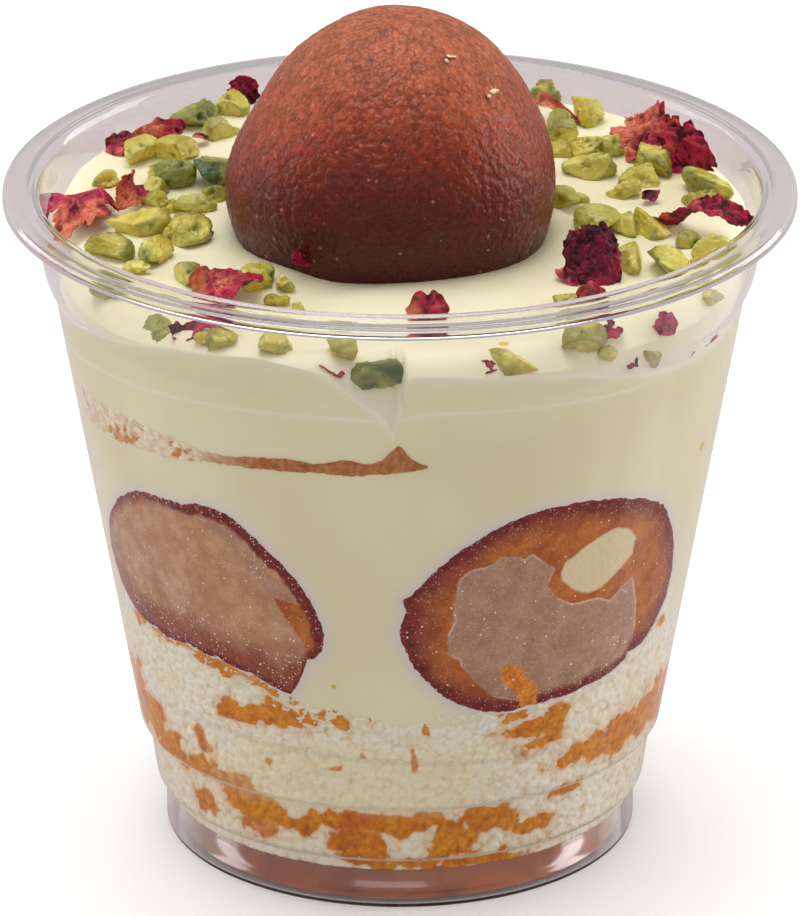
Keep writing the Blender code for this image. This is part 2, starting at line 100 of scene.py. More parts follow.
SPONGE_TOP = [
    (-180, 26), (-120, 24.5), (-88, 23.5), (-80, 27.5), (-74, 31.5), (-68, 34.4), (-58, 32.6),
    (-48, 32.0), (-40, 31.4), (-32, 30.2), (-25, 28.9), (-20, 27.6), (-11, 27.6), (-5, 26.6), (2, 25.6),
    (9, 26.8), (16, 26.8), (24, 26.9), (32, 27.0), (41, 27.8), (48, 29.4), (56, 31.4), (61, 34.0),
    (66, 36.4), (70, 33.0), (78, 27), (88, 23), (125, 25),
]
SPONGE_SEAM = [
    (-180, 19.5), (-88, 21.0), (-40, 21.6), (0, 20.4), (40, 19.2), (88, 18.2), (130, 19),
]
DISC_LOWER = [
    (-180, 57.0), (-90, 54.2), (-75, 55.0), (-65, 55.4), (-54, 56.0), (-41, 56.9), (-36, 57.5),
    (-30, 58.0), (-23.5, 58.3), (-15, 58.7), (-9, 58.75), (-3, 58.95), (1.6, 59.4), (5.4, 60.1),
    (8, 60.3), (90, 58),
]
DISC_UPPER = [
    (-180, 60.5), (-90, 58.8), (-75, 59.2), (-65, 59.4), (-52, 59.8), (-41, 59.7), (-36, 59.2),
    (-30, 59.35), (-23.5, 60.0), (-19.5, 60.2), (-15, 60.1), (-13, 60.2), (-10.4, 60.8), (-8, 60.8),
    (-5, 60.45), (-3, 60.9), (-1.5, 62.2), (-0.4, 62.9), (0.4, 62.6), (1.9, 61.3), (3.9, 60.35),
    (5.4, 60.1), (12, 60.3), (90, 60),
]
DISC_REACH = [
    (-180, 0.0), (-84, 0.0), (-72, 1.0), (4.6, 1.0), (5.8, 0.0),
]

# The whole gulab jamun, as in the solids: outline radii every 30 degrees
BALL_CENTRE = (-1.1, 0.0, 80.3)
BALL_DEPTH = 19.0
BALL_VIEW = 22.4
BALL_OUTLINE = [19.2, 19.0, 19.9, 20.05, 18.9, 17.8, 19.2, 18.9, 18.2, 17.8, 18.2, 19.2]

# Halves at the wall: the front ones' outlines as pixels of the picture, from the left-hand tip over
# the top, and the back ones' as degrees round and millimetres up from their middle
HALF_LEFT_PX = [
    (116, 503), (126, 492), (141, 488), (163, 495), (185, 502), (194, 500), (212, 504), (234, 514),
    (254, 532), (274, 551), (294, 571), (309, 591), (322, 613), (329, 635), (327, 651), (319, 660),
    (312, 660), (308, 672), (302, 684), (295, 696), (283, 691), (256, 674), (221, 658), (190, 643),
    (159, 627), (137, 605), (125, 580), (115, 545), (112, 518),
]
HALF_RIGHT_PX = [
    (399, 598), (409, 593), (426, 575), (448, 556), (475, 538), (506, 520), (537, 508), (568, 501),
    (599, 497), (630, 495), (652, 496), (664, 502), (670, 518), (673, 540), (671, 567), (665, 593),
    (654, 620), (641, 642), (627, 652), (623, 660), (603, 677), (581, 688), (550, 700), (524, 708),
    (493, 714), (466, 709), (443, 700), (425, 683), (410, 667), (402, 652), (396, 638), (399, 620),
    (402, 610),
]
HALF_BACK = [
    (-30, -1.0), (-27, 4.6), (-19, 9.6), (-8, 12.0), (6, 11.8), (18, 9.4), (27, 4.8), (30, -1.6),
    (26, -7.0), (15, -11.0), (0, -12.2), (-16, -11.2), (-26, -7.4),
]
HALF_DEPTH = 13.0

# On the halves, as pixels of the picture: pressed area, cream pocket, orange crumb, amber strip and glaze
PRESSED_PX = [
    (532, 553), (553, 567), (547, 585), (556, 598), (571, 603), (595, 597), (608, 600), (619, 587),
    (630, 576), (633, 600), (632, 626), (625, 652), (608, 670), (586, 683), (564, 693), (532, 700),
    (510, 699), (493, 696), (475, 680), (462, 665), (460, 657), (447, 652), (449, 633), (456, 617),
    (454, 609), (458, 591), (460, 578), (473, 570), (493, 563), (501, 556), (519, 556), (523, 559),
]
POCKET_PX = [
    (560, 572), (564, 561), (580, 548), (600, 534), (616, 526), (628, 527), (634, 536), (630, 552),
    (614, 572), (600, 586), (586, 592), (572, 588), (561, 580),
]
ORANGE_PX = [
    (502, 664), (514, 662), (524, 668), (524, 676), (532, 681), (538, 689), (534, 698), (541, 714),
    (522, 718), (519, 700), (512, 690), (505, 685), (500, 676),
]
AMBER_PX = [
    (274, 594), (284, 598), (300, 604), (320, 618), (332, 640), (322, 662), (312, 659), (304, 643),
    (296, 629), (288, 617), (280, 606),
]
GLAZE_PX = [
    (190, 508), (212, 512), (236, 524), (252, 542), (268, 566), (286, 588), (296, 606), (288, 612),
    (272, 596), (252, 572), (234, 548), (214, 530), (194, 520),
]

# Syrup-soaked patches of the sponge at the wall: azimuth, height, half width, half height, strength
SOAKED = [
    (-88, 18.5, 9, 6.0, 1.0), (-76, 20.0, 7, 4.4, 1.0), (-66, 18.0, 6, 3.0, 1.0),
    (-60, 15.4, 5, 2.2, 1.0), (-50, 14.6, 6, 1.8, 1.0), (-42, 14.4, 6, 2.0, 1.0),
    (-47, 18.2, 2.6, 2.4, 1.0), (-33, 24.4, 6, 1.5, 1.0), (-26, 24.8, 6, 1.8, 1.0),
    (-20, 26.2, 3, 1.2, 1.0), (-13, 27.2, 4, 0.8, 1.0), (-4, 26.6, 1.6, 1.0, 1.0),
    (-26, 28.8, 6, 0.9, 1.0), (-38, 30.0, 6, 0.7, 1.0), (-50, 30.8, 5, 0.7, 1.0),
    (-62, 32.0, 4, 0.7, 1.0), (-36, 11.6, 8, 2.2, 1.0), (-24, 11.2, 9, 1.6, 1.0),
    (-10, 11.2, 10, 1.6, 1.0), (-33, 8.6, 5, 2.2, 0.9), (-52, 9.4, 5, 1.8, 1.0), (-9, 8.4, 7, 2.2, 1.0),
    (2, 11.8, 10, 1.5, 1.0), (12, 9.8, 8, 2.6, 1.0), (22, 11.6, 9, 1.9, 1.0), (32, 9.4, 6, 1.6, 1.0),
    (5, 7.2, 8, 1.2, 1.0), (28, 22.4, 6, 2.2, 1.0), (34, 24.0, 4, 1.6, 1.0), (24, 25.4, 3.5, 1.6, 1.0),
    (38, 17.2, 5, 1.8, 1.0), (46, 17.8, 6, 2.0, 1.0), (56, 18.6, 7, 2.6, 1.0), (68, 19.4, 8, 3.0, 1.0),
    (84, 18.6, 9, 4.6, 1.0), (42, 13.4, 4, 0.8, 1.0), (-15, 19.2, 1.6, 0.5, 1.0),
    (2, 20.6, 0.9, 1.4, 1.0), (-30, 18.4, 1.4, 0.6, 1.0), (6, 24.4, 1.0, 1.0, 1.0),
    (20, 5.9, 12, 0.9, 1.0), (-6, 6.0, 8, 0.8, 1.0), (64, 30.4, 3, 0.6, 1.0), (-8, 22.2, 1.0, 0.5, 1.0),
    (110, 17, 12, 3.6, 1.0), (140, 13, 10, 3.0, 1.0), (165, 20, 9, 2.6, 1.0), (-110, 16, 10, 4.0, 1.0),
    (-135, 21, 9, 3.0, 1.0), (-155, 12, 9, 3.0, 1.0), (180, 9, 9, 2.6, 1.0), (125, 8, 8, 2.0, 1.0),
]

# Chopped pistachio: picture x, picture y, length, width, height, turn, greenness
PISTACHIO = [
    (197, 117, 6.2, 3.8, 2.8, 55, 0.75), (232, 104, 4.4, 3.2, 2.6, -25, 0.15),
    (222, 129, 4.6, 3.2, 2.5, 50, 0.2), (143, 152, 5.8, 3.4, 2.8, 75, 0.1),
    (176, 150, 4.8, 3.8, 3.0, -15, 0.1), (173, 173, 5.4, 4.2, 3.2, -20, 0.45),
    (212, 173, 6.2, 4.2, 3.0, 60, 0.8), (105, 180, 3.0, 2.2, 1.8, 30, 0.3),
    (153, 189, 4.0, 2.4, 2.0, 35, 0.3), (163, 204, 4.8, 3.0, 2.6, 25, 0.5),
    (196, 205, 4.8, 2.3, 1.9, -5, 0.15), (214, 196, 3.4, 2.2, 1.9, 30, 0.6),
    (141, 224, 7.4, 3.4, 2.8, 8, 0.12), (190, 231, 6.0, 4.4, 2.9, 35, 0.6),
    (111, 247, 5.6, 3.3, 2.7, -10, 0.25), (155, 254, 5.6, 3.1, 2.7, 80, 0.7),
    (138, 269, 3.4, 2.0, 1.6, -30, 0.2), (187, 275, 4.4, 3.0, 2.4, 70, 0.25),
    (257, 279, 6.0, 3.0, 2.6, 75, 0.55), (284, 283, 2.6, 2.3, 2.0, 60, 0.15),
    (278, 301, 2.8, 1.8, 1.5, -10, 0.2), (299, 307, 1.6, 1.2, 1.0, 0, 0.2),
    (112, 289, 5.2, 2.4, 2.0, -35, 0.7), (163, 333, 5.2, 3.1, 2.8, -50, 0.75),
    (222, 340, 3.8, 3.0, 2.5, 20, 0.4), (207, 337, 2.4, 1.6, 1.2, 0, 0.1),
    (275, 344, 3.6, 2.8, 2.4, 40, 0.6), (344, 347, 4.4, 2.8, 2.3, -30, 0.3),
    (380, 374, 6.0, 3.8, 3.4, -15, 1.0), (508, 364, 6.0, 3.2, 2.8, -20, 0.45),
    (584, 339, 5.4, 3.5, 2.9, 70, 0.45), (606, 353, 2.4, 1.8, 1.3, 0, 0.1),
    (642, 357, 3.9, 3.1, 2.5, 60, 0.2), (711, 298, 2.6, 2.2, 1.7, 40, 0.4),
    (566, 301, 2.6, 1.8, 1.3, 10, 0.3), (545, 92, 3.8, 2.4, 2.2, 0, 0.4),
    (587, 113, 4.8, 3.7, 3.0, 80, 0.2), (562, 130, 5.8, 3.4, 2.7, -65, 0.45),
    (563, 150, 2.7, 2.3, 1.8, 0, 0.15), (583, 148, 4.4, 3.0, 2.5, -20, 0.12),
    (608, 145, 4.4, 3.0, 2.4, -50, 0.1), (591, 167, 6.2, 3.0, 2.7, 5, 0.25),
    (652, 162, 7.2, 3.4, 3.0, -60, 0.35), (640, 176, 5.2, 3.4, 2.8, -30, 0.2),
    (709, 187, 8.4, 3.2, 2.8, -50, 0.6), (626, 190, 3.9, 2.5, 2.1, -20, 0.2),
    (700, 199, 4.8, 2.5, 2.2, -40, 0.1), (566, 199, 5.2, 2.7, 2.2, -75, 0.4),
    (580, 198, 2.2, 1.6, 1.2, 0, 0.1), (596, 221, 5.8, 4.3, 3.0, -45, 0.3),
    (627, 225, 4.9, 2.8, 2.4, -60, 0.2), (654, 226, 5.2, 3.2, 2.6, -55, 0.35),
    (688, 241, 2.9, 2.5, 2.0, -40, 0.4), (633, 258, 4.9, 3.7, 2.8, 50, 0.3),
    (669, 263, 4.8, 4.2, 3.0, 0, 0.45), (716, 251, 4.8, 2.9, 2.6, 45, 0.05),
    (700, 264, 2.4, 1.6, 1.3, 30, 0.1),
]

# Rose petals: name, picture x and y, lift over the cream, length, width, turn, lean, curl, salmon share
LARGE_PETALS = [
    ("petal_left", 80, 203, 1.4, 13.4, 8.0, 92, 4, 1.2, 0.3),
    ("petal_curled", 130, 190, 2.6, 7.2, 4.2, 75, 58, 1.6, 0.75),
    ("petal_back_right", 660, 141, 2.8, 14.2, 6.2, -54, 46, 1.2, 0.45),
    ("petal_long_right", 683, 218, 1.6, 17.0, 3.8, -33, 14, 1.2, 0.35),
    ("petal_dark_right", 594, 258, 2.6, 6.0, 8.2, 22, 38, 1.3, -0.4),
    ("petal_front_left", 227, 283, 2.0, 7.4, 4.4, 5, 34, 1.4, 0.5),
]
SMALL_PETALS = [
    (158, 135, 1.2, 6.2, 3.4, 15, 45, 0.9, 0.5), (121, 143, 1.2, 3.6, 2.6, 20, 55, 0.6, 0.05),
    (245, 90, 1.2, 3.8, 2.6, -10, 55, 0.6, -0.2), (201, 137, 1.0, 2.0, 1.2, 0, 40, 0.3, 0.6),
    (560, 110, 1.6, 6.6, 1.9, -34, 30, 0.7, 1.0), (567, 276, 0.7, 3.4, 1.6, -65, 30, 0.5, 0.3),
    (204, 324, 0.9, 7.0, 3.2, 8, 35, 1.0, 0.0), (428, 318, 1.6, 4.6, 5.6, 4, 62, 0.9, 0.1),
    (592, 295, 0.9, 4.0, 2.2, 20, 30, 0.6, 0.1), (611, 330, 0.9, 4.2, 2.2, 70, 40, 0.8, 0.0),
    (662, 322, 0.9, 5.0, 3.2, -60, 30, 0.7, 0.0), (700, 337, 0.9, 4.8, 2.6, 25, 40, 0.7, 0.1),
    (682, 356, 0.6, 2.4, 1.2, 40, 30, 0.4, 0.0), (481, 370, 0.6, 3.2, 1.7, 20, 30, 0.4, 0.1),
    (630, 361, 0.6, 1.8, 1.6, 0, 30, 0.3, 0.0), (333, 370, 0.6, 3.0, 1.2, -35, 30, 0.4, 0.1),
    (648, 195, 1.0, 1.8, 1.5, 60, 50, 0.3, 0.1), (305, 257, 0.0, 3.0, 2.2, 30, 60, 0.5, 0.0),
]
BALL_PETAL = len(SMALL_PETALS) - 1

# Cream flakes on the whole gulab jamun, and crumbs at the wall, listed as the pistachio is, with how
# soaked they are in place of the greenness
FLAKES = [
    (452, 57, 1.1, 0.7, 0.4, 20, 0), (494, 91, 1.2, 0.8, 0.4, -10, 0), (447, 61, 0.6, 0.4, 0.3, 0, 0),
    (489, 96, 0.5, 0.4, 0.3, 40, 0),
]
CRUMBS = [
    (307, 563, 1.3, 0.8, 0.8, 10, 1.0), (407, 693, 1.0, 0.8, 0.7, 30, 1.0),
    (134, 379, 0.8, 0.8, 0.6, 0, 1.0), (452, 456, 2.4, 0.9, 1.5, 0, 0.8),
    (669, 388, 1.4, 0.9, 2.6, 0, 0.7), (662, 400, 1.2, 0.8, 1.4, 0, 0.7),
    (650, 416, 1.7, 0.8, 0.5, 0, 0.7), (417, 474, 0.4, 0.3, 0.3, 0, 1.0),
]

# Thickness of a petal, cells of the pressed crumb to a metre, and the first seed
PETAL_SHEET = 0.12
CELLS_PER_METRE = 1150.0
SEED = 20

# How far red, green and blue light goes into cream and sponge, as shares
PALE_DEPTHS = (1.0, 0.75, 0.45)

# Light: a path deeper than this passes straight through clear plastic, and the floor and the
# surroundings have their own colours when seen, when they light things and when they show in plastic
LONGEST_GLASS_PATH = 1.5
FLOOR_SEEN = (0.97, 0.97, 0.97, 1.0)
FLOOR_LIGHTING = (0.56, 0.545, 0.49, 1.0)
FLOOR_GLOW = 0.17
FLOOR_IN_GLASS = (0.56, 0.5, 0.49, 1.0)
SURROUNDINGS_SEEN = (1.0, 1.0, 1.0, 1.0)
SURROUNDINGS_IN_GLASS = (0.5, 0.47, 0.47, 1.0)

# Lamps: name, place, size, watts, in metres
LAMP_TARGET = (0.0, 0.0, 0.05)
LAMPS = [
    ("lamp_above", (-0.08, 0.1, 0.9), (0.6, 0.6), 4.4),
    ("lamp_front", (-0.1, -1.1, 0.75), (0.8, 0.5), 1.6),
    ("lamp_left", (-0.62, 0.14, 0.22), (0.2, 0.42), 0.9),
    ("lamp_right", (0.62, 0.14, 0.22), (0.2, 0.42), 1.5),
]


# Numbers that look random but repeat

def hashed(ix, iy, iz, seed):
    """A repeatable number from 0 to 1 for each whole-number cell, by mixing its bits."""
    n = (ix * 73856093) ^ (iy * 19349663) ^ (iz * 83492791) ^ (seed * 40503 + 12345)
    n = (n ^ (n >> 15)) * 2246822519 & 0xFFFFFFFF
    n = (n ^ (n >> 13)) * 3266489917 & 0xFFFFFFFF
    return ((n ^ (n >> 16)) & 0xFFFFFFFF) / 4294967295.0


def smooth_noise(points, size, seed):
    """Value noise from -1 to 1: cell corners' numbers, blended by the fade 3t^2 - 2t^3."""
    place = np.asarray(points, float) / size
    cell = np.floor(place).astype(np.int64)
    t = place - cell
    t = t * t * (3 - 2 * t)
    total = np.zeros(place.shape[:-1])
    for corner in range(8):
        dx, dy, dz = corner & 1, corner >> 1 & 1, corner >> 2 & 1
        weight = (np.where(dx, t[..., 0], 1 - t[..., 0]) * np.where(dy, t[..., 1], 1 - t[..., 1])
                  * np.where(dz, t[..., 2], 1 - t[..., 2]))
        total += weight * hashed(cell[..., 0] + dx, cell[..., 1] + dy, cell[..., 2] + dz, seed)
    return 2 * total - 1


def fractal(points, size, octaves, seed, gain=0.5):
    """Several noises added, each half the size and gain times the height of the last."""
    total = 0.0
    height = 1.0
    whole = 0.0
    for octave in range(octaves):
        total = total + height * smooth_noise(points, size / 2 ** octave, seed + 17 * octave)
        whole += height
        height *= gain
    return total / whole


def grains(points, size, seed):
    """Distance to the nearest and second nearest scattered point, in sizes, and that point's number."""
    place = np.asarray(points, float) / size
    cell = np.floor(place).astype(np.int64)
    first = np.full(place.shape[:-1], 9.0)
    second = first.copy()
    number = np.zeros(place.shape[:-1])
    for step in range(27):
        near = cell + np.array([step % 3 - 1, step // 3 % 3 - 1, step // 9 - 1])
        cells = near[..., 0], near[..., 1], near[..., 2]
        spot = [cells[k] + hashed(*cells, seed + 101 * k) for k in range(3)]
        away = np.sqrt(sum((place[..., k] - spot[k]) ** 2 for k in range(3)))
        closer = away < first
        second = np.where(closer, first, np.minimum(second, away))
        number = np.where(closer, hashed(*cells, seed + 777), number)
        first = np.where(closer, away, first)
    return first, second, number


def step_between(low, high, value):
    """0 below low, 1 above high, and the fade 3t^2 - 2t^3 between."""
    t = np.clip((value - low) / (high - low), 0, 1)
    return t * t * (3 - 2 * t)


# The cup's profile

def rounded_line(points, radius, turn_step):
    """A broken line with each corner replaced by a curve: the blend of its two sides.

    The curve has one step for each turn_step degrees that the line turns there.
    """
    points = np.array(points, float)
    line = [points[0]]
    for before, corner, after in zip(points[:-2], points[1:-1], points[2:]):
        back = before - corner
        ahead = after - corner
        reach = min(radius, 0.45 * np.hypot(*back), 0.45 * np.hypot(*ahead))
        start = corner + back / np.hypot(*back) * reach
        end = corner + ahead / np.hypot(*ahead) * reach
        cosine = np.clip(-(back @ ahead) / (np.hypot(*back) * np.hypot(*ahead)), -1, 1)
        steps = 3 + int(math.degrees(math.acos(cosine)) / turn_step)
        for t in np.linspace(0, 1, steps):
            line.append((1 - t) ** 2 * start + 2 * t * (1 - t) * corner + t ** 2 * end)
    line.append(points[-1])
    return np.array(line)


def denser(line, gap):
    """The line with points added so that none lie further apart than gap."""
    out = [line[:1]]
    for start, end in zip(line[:-1], line[1:]):
        count = max(1, int(math.ceil(np.hypot(*(end - start)) / gap)))
        out.append(start + (end - start) * (np.arange(1, count + 1) / count)[:, None])
    return np.concatenate(out)


def beside(line, distance):
    """The line moved sideways, along the normal of its local direction, and kept off the axis."""
    along = np.gradient(line, axis=0)
    along /= np.hypot(along[:, 0], along[:, 1])[:, None]
    moved = line + distance * np.stack([-along[:, 1], along[:, 0]], axis=1)
    moved[:, 0] = np.maximum(moved[:, 0], 0.02)
    return moved


MIDDLE_LINE = denser(rounded_line(CUP_LINE, CUP_CORNER, CORNER_STEP), LONGEST_SPAN)


def inner_side():
    """Height, radius and run along the profile of the cup's inner side, from its foot to its lip."""
    line = beside(MIDDLE_LINE, -0.5 * SHEET)[::-1]
    line = line[(line[:, 1] > WALL_FROM) & (line[:, 1] < WALL_TO) & (line[:, 0] > WALL_LEAST_RADIUS)]
    height = np.maximum.accumulate(line[:, 1]) + 1e-6 * np.arange(len(line))
    run = np.hypot(np.diff(line[:, 0]), np.diff(height)).cumsum()
    return height, line[:, 0], np.concatenate([[0.0], run])


WALL_HEIGHT, WALL_RADIUS, WALL_RUN = inner_side()


# Places

def ring_value(table, azimuth):
    """A value from a list round the cup, at azimuths in degrees."""
    angles, values = zip(*table)
    return np.interp(azimuth, angles, values, period=360)


def azimuth_of(x, y):
    """Degrees from the front, + to the right."""
    return np.degrees(np.arctan2(x, -y))


def wall_radius(z):
    """Inner radius of the cup's wall at height z, from its profile."""
    return np.interp(z, WALL_HEIGHT, WALL_RADIUS)


def wall_rows(low, high, share):
    """Heights between low and high, spread evenly along the wall's profile."""
    start = np.interp(low, WALL_HEIGHT, WALL_RUN)
    end = np.interp(high, WALL_HEIGHT, WALL_RUN)
    return np.interp(start + share * (end - start), WALL_RUN, WALL_HEIGHT)


def round_cup(azimuth, radius, z):
    """Points from azimuth in degrees, radius and height."""
    angle = np.radians(azimuth)
    return np.stack(np.broadcast_arrays(radius * np.sin(angle), -radius * np.cos(angle), z), axis=-1)


def cream_surface(x, y):
    """Top of the cream: nearly level, with soft folds, higher behind, rounded down to the wall."""
    edge = ring_value(CREAM_EDGE, azimuth_of(x, y))
    flat = np.stack(np.broadcast_arrays(x, y, 0.0 * x), axis=-1)
    level = CREAM_LEVEL + 2.2 * np.clip(y / 35, 0, 1) ** 1.3 - 0.3 * np.clip(-y / 35, 0, 1)
    folds = np.sin(0.16 * x - 0.34 * y + 1.6 * smooth_noise(flat, 19.0, 3)) * 0.28
    level = level + folds + 0.3 * fractal(flat, 13.0, 2, 5)
    width = 3.0 + 0.55 * np.maximum(level - edge, 0)
    inward = np.clip((wall_radius(CREAM_LEVEL) - np.hypot(x, y)) / width, 0, 1)
    return edge + (level - edge) * (1 - (1 - inward) ** 3)


def front_columns(columns, share):
    """Azimuths from -180 to 180, closer together in front: t - share sin t, with t in equal steps."""
    even = np.arange(columns) * 2 * math.pi / columns - math.pi
    return np.degrees(even - share * np.sin(even))


def view_rays(pixels):
    """Camera place and one ray for each pixel."""
    down = math.radians(CAMERA_DOWN)
    across = (pixels[:, 0] - 0.5 * PICTURE[0] - 0.5) / PIXEL_FOCUS
    up = (0.5 * PICTURE[1] - pixels[:, 1]) / PIXEL_FOCUS
    forward = math.cos(down) + up * math.sin(down)
    rays = np.stack([across, forward, up * math.cos(down) - math.sin(down)], axis=1)
    return np.array([0.0, -CAMERA_BACK, CAMERA_HEIGHT]), rays


def first_hit(pixels, outside):
    """Where each pixel's ray first makes outside(x, y, z) negative, or else comes nearest to that."""
    start, rays = view_rays(np.asarray(pixels, float))
    steps = np.arange(CAMERA_BACK - 60, CAMERA_BACK + 150, 0.1)
    points = start + rays[:, None, :] * steps[None, :, None]
    value = outside(points[..., 0], points[..., 1], points[..., 2])
    index = np.where((value < 0).any(axis=1), np.argmax(value < 0, axis=1), np.argmin(value, axis=1))
    return points[np.arange(len(points)), index]


def on_wall(pixels):
    """Azimuth and height at the inner side of the wall for pixels of the picture."""
    place = first_hit(pixels, lambda x, y, z: np.hypot(x, y) - wall_radius(z))
    return np.stack([azimuth_of(place[:, 0], place[:, 1]), place[:, 2]], axis=1)


def on_cream(pixels, lift, inset):
    """Places lift above the cream, and inset from the wall, for pixels of the picture."""
    def outside(x, y, z):
        beyond = np.hypot(x, y) - wall_radius(z) + inset[:, None]
        return np.maximum(beyond, z - cream_surface(x, y) - lift[:, None])
    return first_hit(pixels, outside)


# Meshes

def mesh_of(name, points, polygons, values):
    """A smooth mesh from points in millimetres, its polygons, and a number for each point by name."""
    mesh = bpy.data.meshes.new(name)
    mesh.from_pydata((points * MM).tolist(), [], polygons)
    for key, value in values.items():
        layer = mesh.attributes.new(key, "FLOAT", "POINT")
        layer.data.foreach_set("value", value.astype(np.float32))
    mesh.shade_smooth()
    return mesh


def grid_mesh(name, grid, wrap=True, poles=False, values=None):
    """A mesh from rows and columns of points, closed round and to a pole at each end where asked.

    values holds one number for each point under each attribute's name.
    """
    rows, columns = grid.shape[:2]
    index = np.arange(rows * columns).reshape(rows, columns)
    left = index if wrap else index[:, :-1]
    right = np.roll(index, -1, axis=1) if wrap else index[:, 1:]
    faces = np.stack([left[:-1], right[:-1], right[1:], left[1:]], axis=-1).reshape(-1, 4)
    points = grid.reshape(-1, 3)
    polygons = faces.tolist()
    ends = (0, rows - 1) if poles else ()
    for row in ends:
        fan = np.stack([left[row], right[row], np.full(left.shape[1], len(points))], axis=-1)
        polygons += (fan if row else fan[:, ::-1]).tolist()
        points = np.concatenate([points, grid[row].mean(axis=0)[None]])
    marks = {key: np.append(value, [value[row].mean() for row in ends])
             for key, value in (values or {}).items()}
    return mesh_of(name, points, polygons, marks)


def joined_mesh(name, points, faces, values=None):
    """One mesh from many copies of a form: points is copies x corners x 3, faces lists one copy."""
    copies, corners = points.shape[:2]
    shifted = faces[None] + (np.arange(copies) * corners)[:, None, None]
    marks = {key: value.reshape(-1) for key, value in (values or {}).items()}
    return mesh_of(name, points.reshape(-1, 3), shifted.reshape(-1, faces.shape[1]).tolist(), marks)


def face_outwards(mesh):
    """Turn a closed mesh right side out by the sign of its volume."""
    form = bmesh.new()
    form.from_mesh(mesh)
    if form.calc_volume(signed=True) < 0:
        bmesh.ops.reverse_faces(form, faces=form.faces)
        form.to_mesh(mesh)
    form.free()
    return mesh


def ball_form(level):
    """Corners and triangles of a unit ball of equal triangles."""
    form = bmesh.new()
    bmesh.ops.create_icosphere(form, subdivisions=level, radius=1.0)
    corners = np.array([vertex.co[:] for vertex in form.verts])
    faces = np.array([[vertex.index for vertex in face.verts] for face in form.faces])
    form.free()
    return corners, faces


def add_piece(name, mesh, material, replaced):
    """Put a piece in the scene, riding on the part's one body."""
    item = bpy.data.objects.new(name, mesh)
    bpy.context.scene.collection.objects.link(item)
    mesh.materials.append(material)
    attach(item, "root")
    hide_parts(*replaced)
    return item


def add_surface(name, grid, material, replaced, values=None):
    """A closed piece from rows of points round an axis, its faces outwards."""
    mesh = face_outwards(grid_mesh(name, grid, poles=True, values=values))
    add_piece(name, mesh, material, replaced)


def add_band(name, azimuth, radius, height, shares, marks, material, replaced):
    """A closed piece: a side given in rows, with a flat cap at each end that runs in to the axis.

    Each cap has a ring at each of the shares of its radius, listed from the axis outwards, and
    keeps the marks of the row that it starts from.
    """
    rings = np.array(shares)[:, None]
    under = round_cup(azimuth[:1], rings * radius[:1], height[:1])
    lid = round_cup(azimuth[-1:], rings[::-1] * radius[-1:], height[-1:])
    grid = np.concatenate([under, round_cup(azimuth, radius, height), lid])
    count = len(shares)
    values = {key: np.pad(mark, ((count, count), (0, 0)), mode="edge") for key, mark in marks.items()}
    add_surface(name, grid, material, replaced, values)


# Materials

def new_material(name, roughness, **sockets):
    """An empty Principled material with plain numbers set on its sockets."""
    material = bpy.data.materials.new(name)
    material.use_nodes = True
    shader = material.node_tree.nodes["Principled BSDF"]
    shader.inputs["Roughness"].default_value = roughness
    for key, value in sockets.items():
        shader.inputs[key.replace("_", " ")].default_value = value
    return material, material.node_tree, shader


def node(tree, kind, **settings):
    """Add a node; settings with a capital are sockets, the others are its properties."""
    item = tree.nodes.new(kind)
    for key, value in settings.items():
        if key[0].isupper():
            socket = item.inputs[key.replace("_", " ")]
            if isinstance(value, bpy.types.NodeSocket):
                tree.links.new(value, socket)
            else:
                socket.default_value = value
        else:
            setattr(item, key, value)
    return item


def mixed(tree, share, first, second):
    """A colour between two others, each a colour or a socket."""
    item = node(tree, "ShaderNodeMix", data_type="RGBA")
    for socket, value in ((item.inputs[0], share), (item.inputs[6], first), (item.inputs[7], second)):
        if isinstance(value, bpy.types.NodeSocket):
            tree.links.new(value, socket)
        else:
            socket.default_value = value
    return item.outputs[2]


def sums(tree, operation, first, second=0.0, third=None):
    """One math step."""
    item = node(tree, "ShaderNodeMath", operation=operation)
    for socket, value in zip(item.inputs, (first, second, third)):
        if isinstance(value, bpy.types.NodeSocket):
            tree.links.new(value, socket)
        elif value is not None:
            socket.default_value = value
    return item.outputs[0]


def between(tree, value, low, high, to_low=0.0, to_high=1.0):
    """Map a value from low..high to to_low..to_high, smoothly and held at the ends."""
    item = node(tree, "ShaderNodeMapRange", interpolation_type="SMOOTHSTEP", Value=value, From_Min=low,
                From_Max=high, To_Min=to_low, To_Max=to_high)
    return item.outputs[0]


def attribute(tree, name):
    """A number stored on the piece."""
    return node(tree, "ShaderNodeAttribute", attribute_name=name).outputs["Fac"]


def over(tree, colour, mark, other, strength=1.0):
    """The colour painted over with another as far as a mark stored on the piece, times strength, says."""
    share = attribute(tree, mark)
    if strength != 1.0:
        share = sums(tree, "MULTIPLY", share, strength)
    return mixed(tree, share, colour, other)


def srgb(red, green, blue):
    """A display colour of 0 to 255 as the linear colour that a shader takes."""
    shares = [value / 255 for value in (red, green, blue)]
    return [s / 12.92 if s <= 0.04045 else ((s + 0.055) / 1.055) ** 2.4 for s in shares] + [1.0]


def shader_group(name, inputs, outputs):
    """An empty group of plain numbers: the group, what goes in and comes out, and Object coordinates."""
    group = bpy.data.node_groups.new(name, "ShaderNodeTree")
    for way, sockets in (("INPUT", inputs), ("OUTPUT", outputs)):
        for socket in sockets:
            group.interface.new_socket(socket, in_out=way, socket_type="NodeSocketFloat")
    start = group.nodes.new("NodeGroupInput").outputs
    end = group.nodes.new("NodeGroupOutput").inputs
    return group, start, end, node(group, "ShaderNodeTexCoord").outputs["Object"]


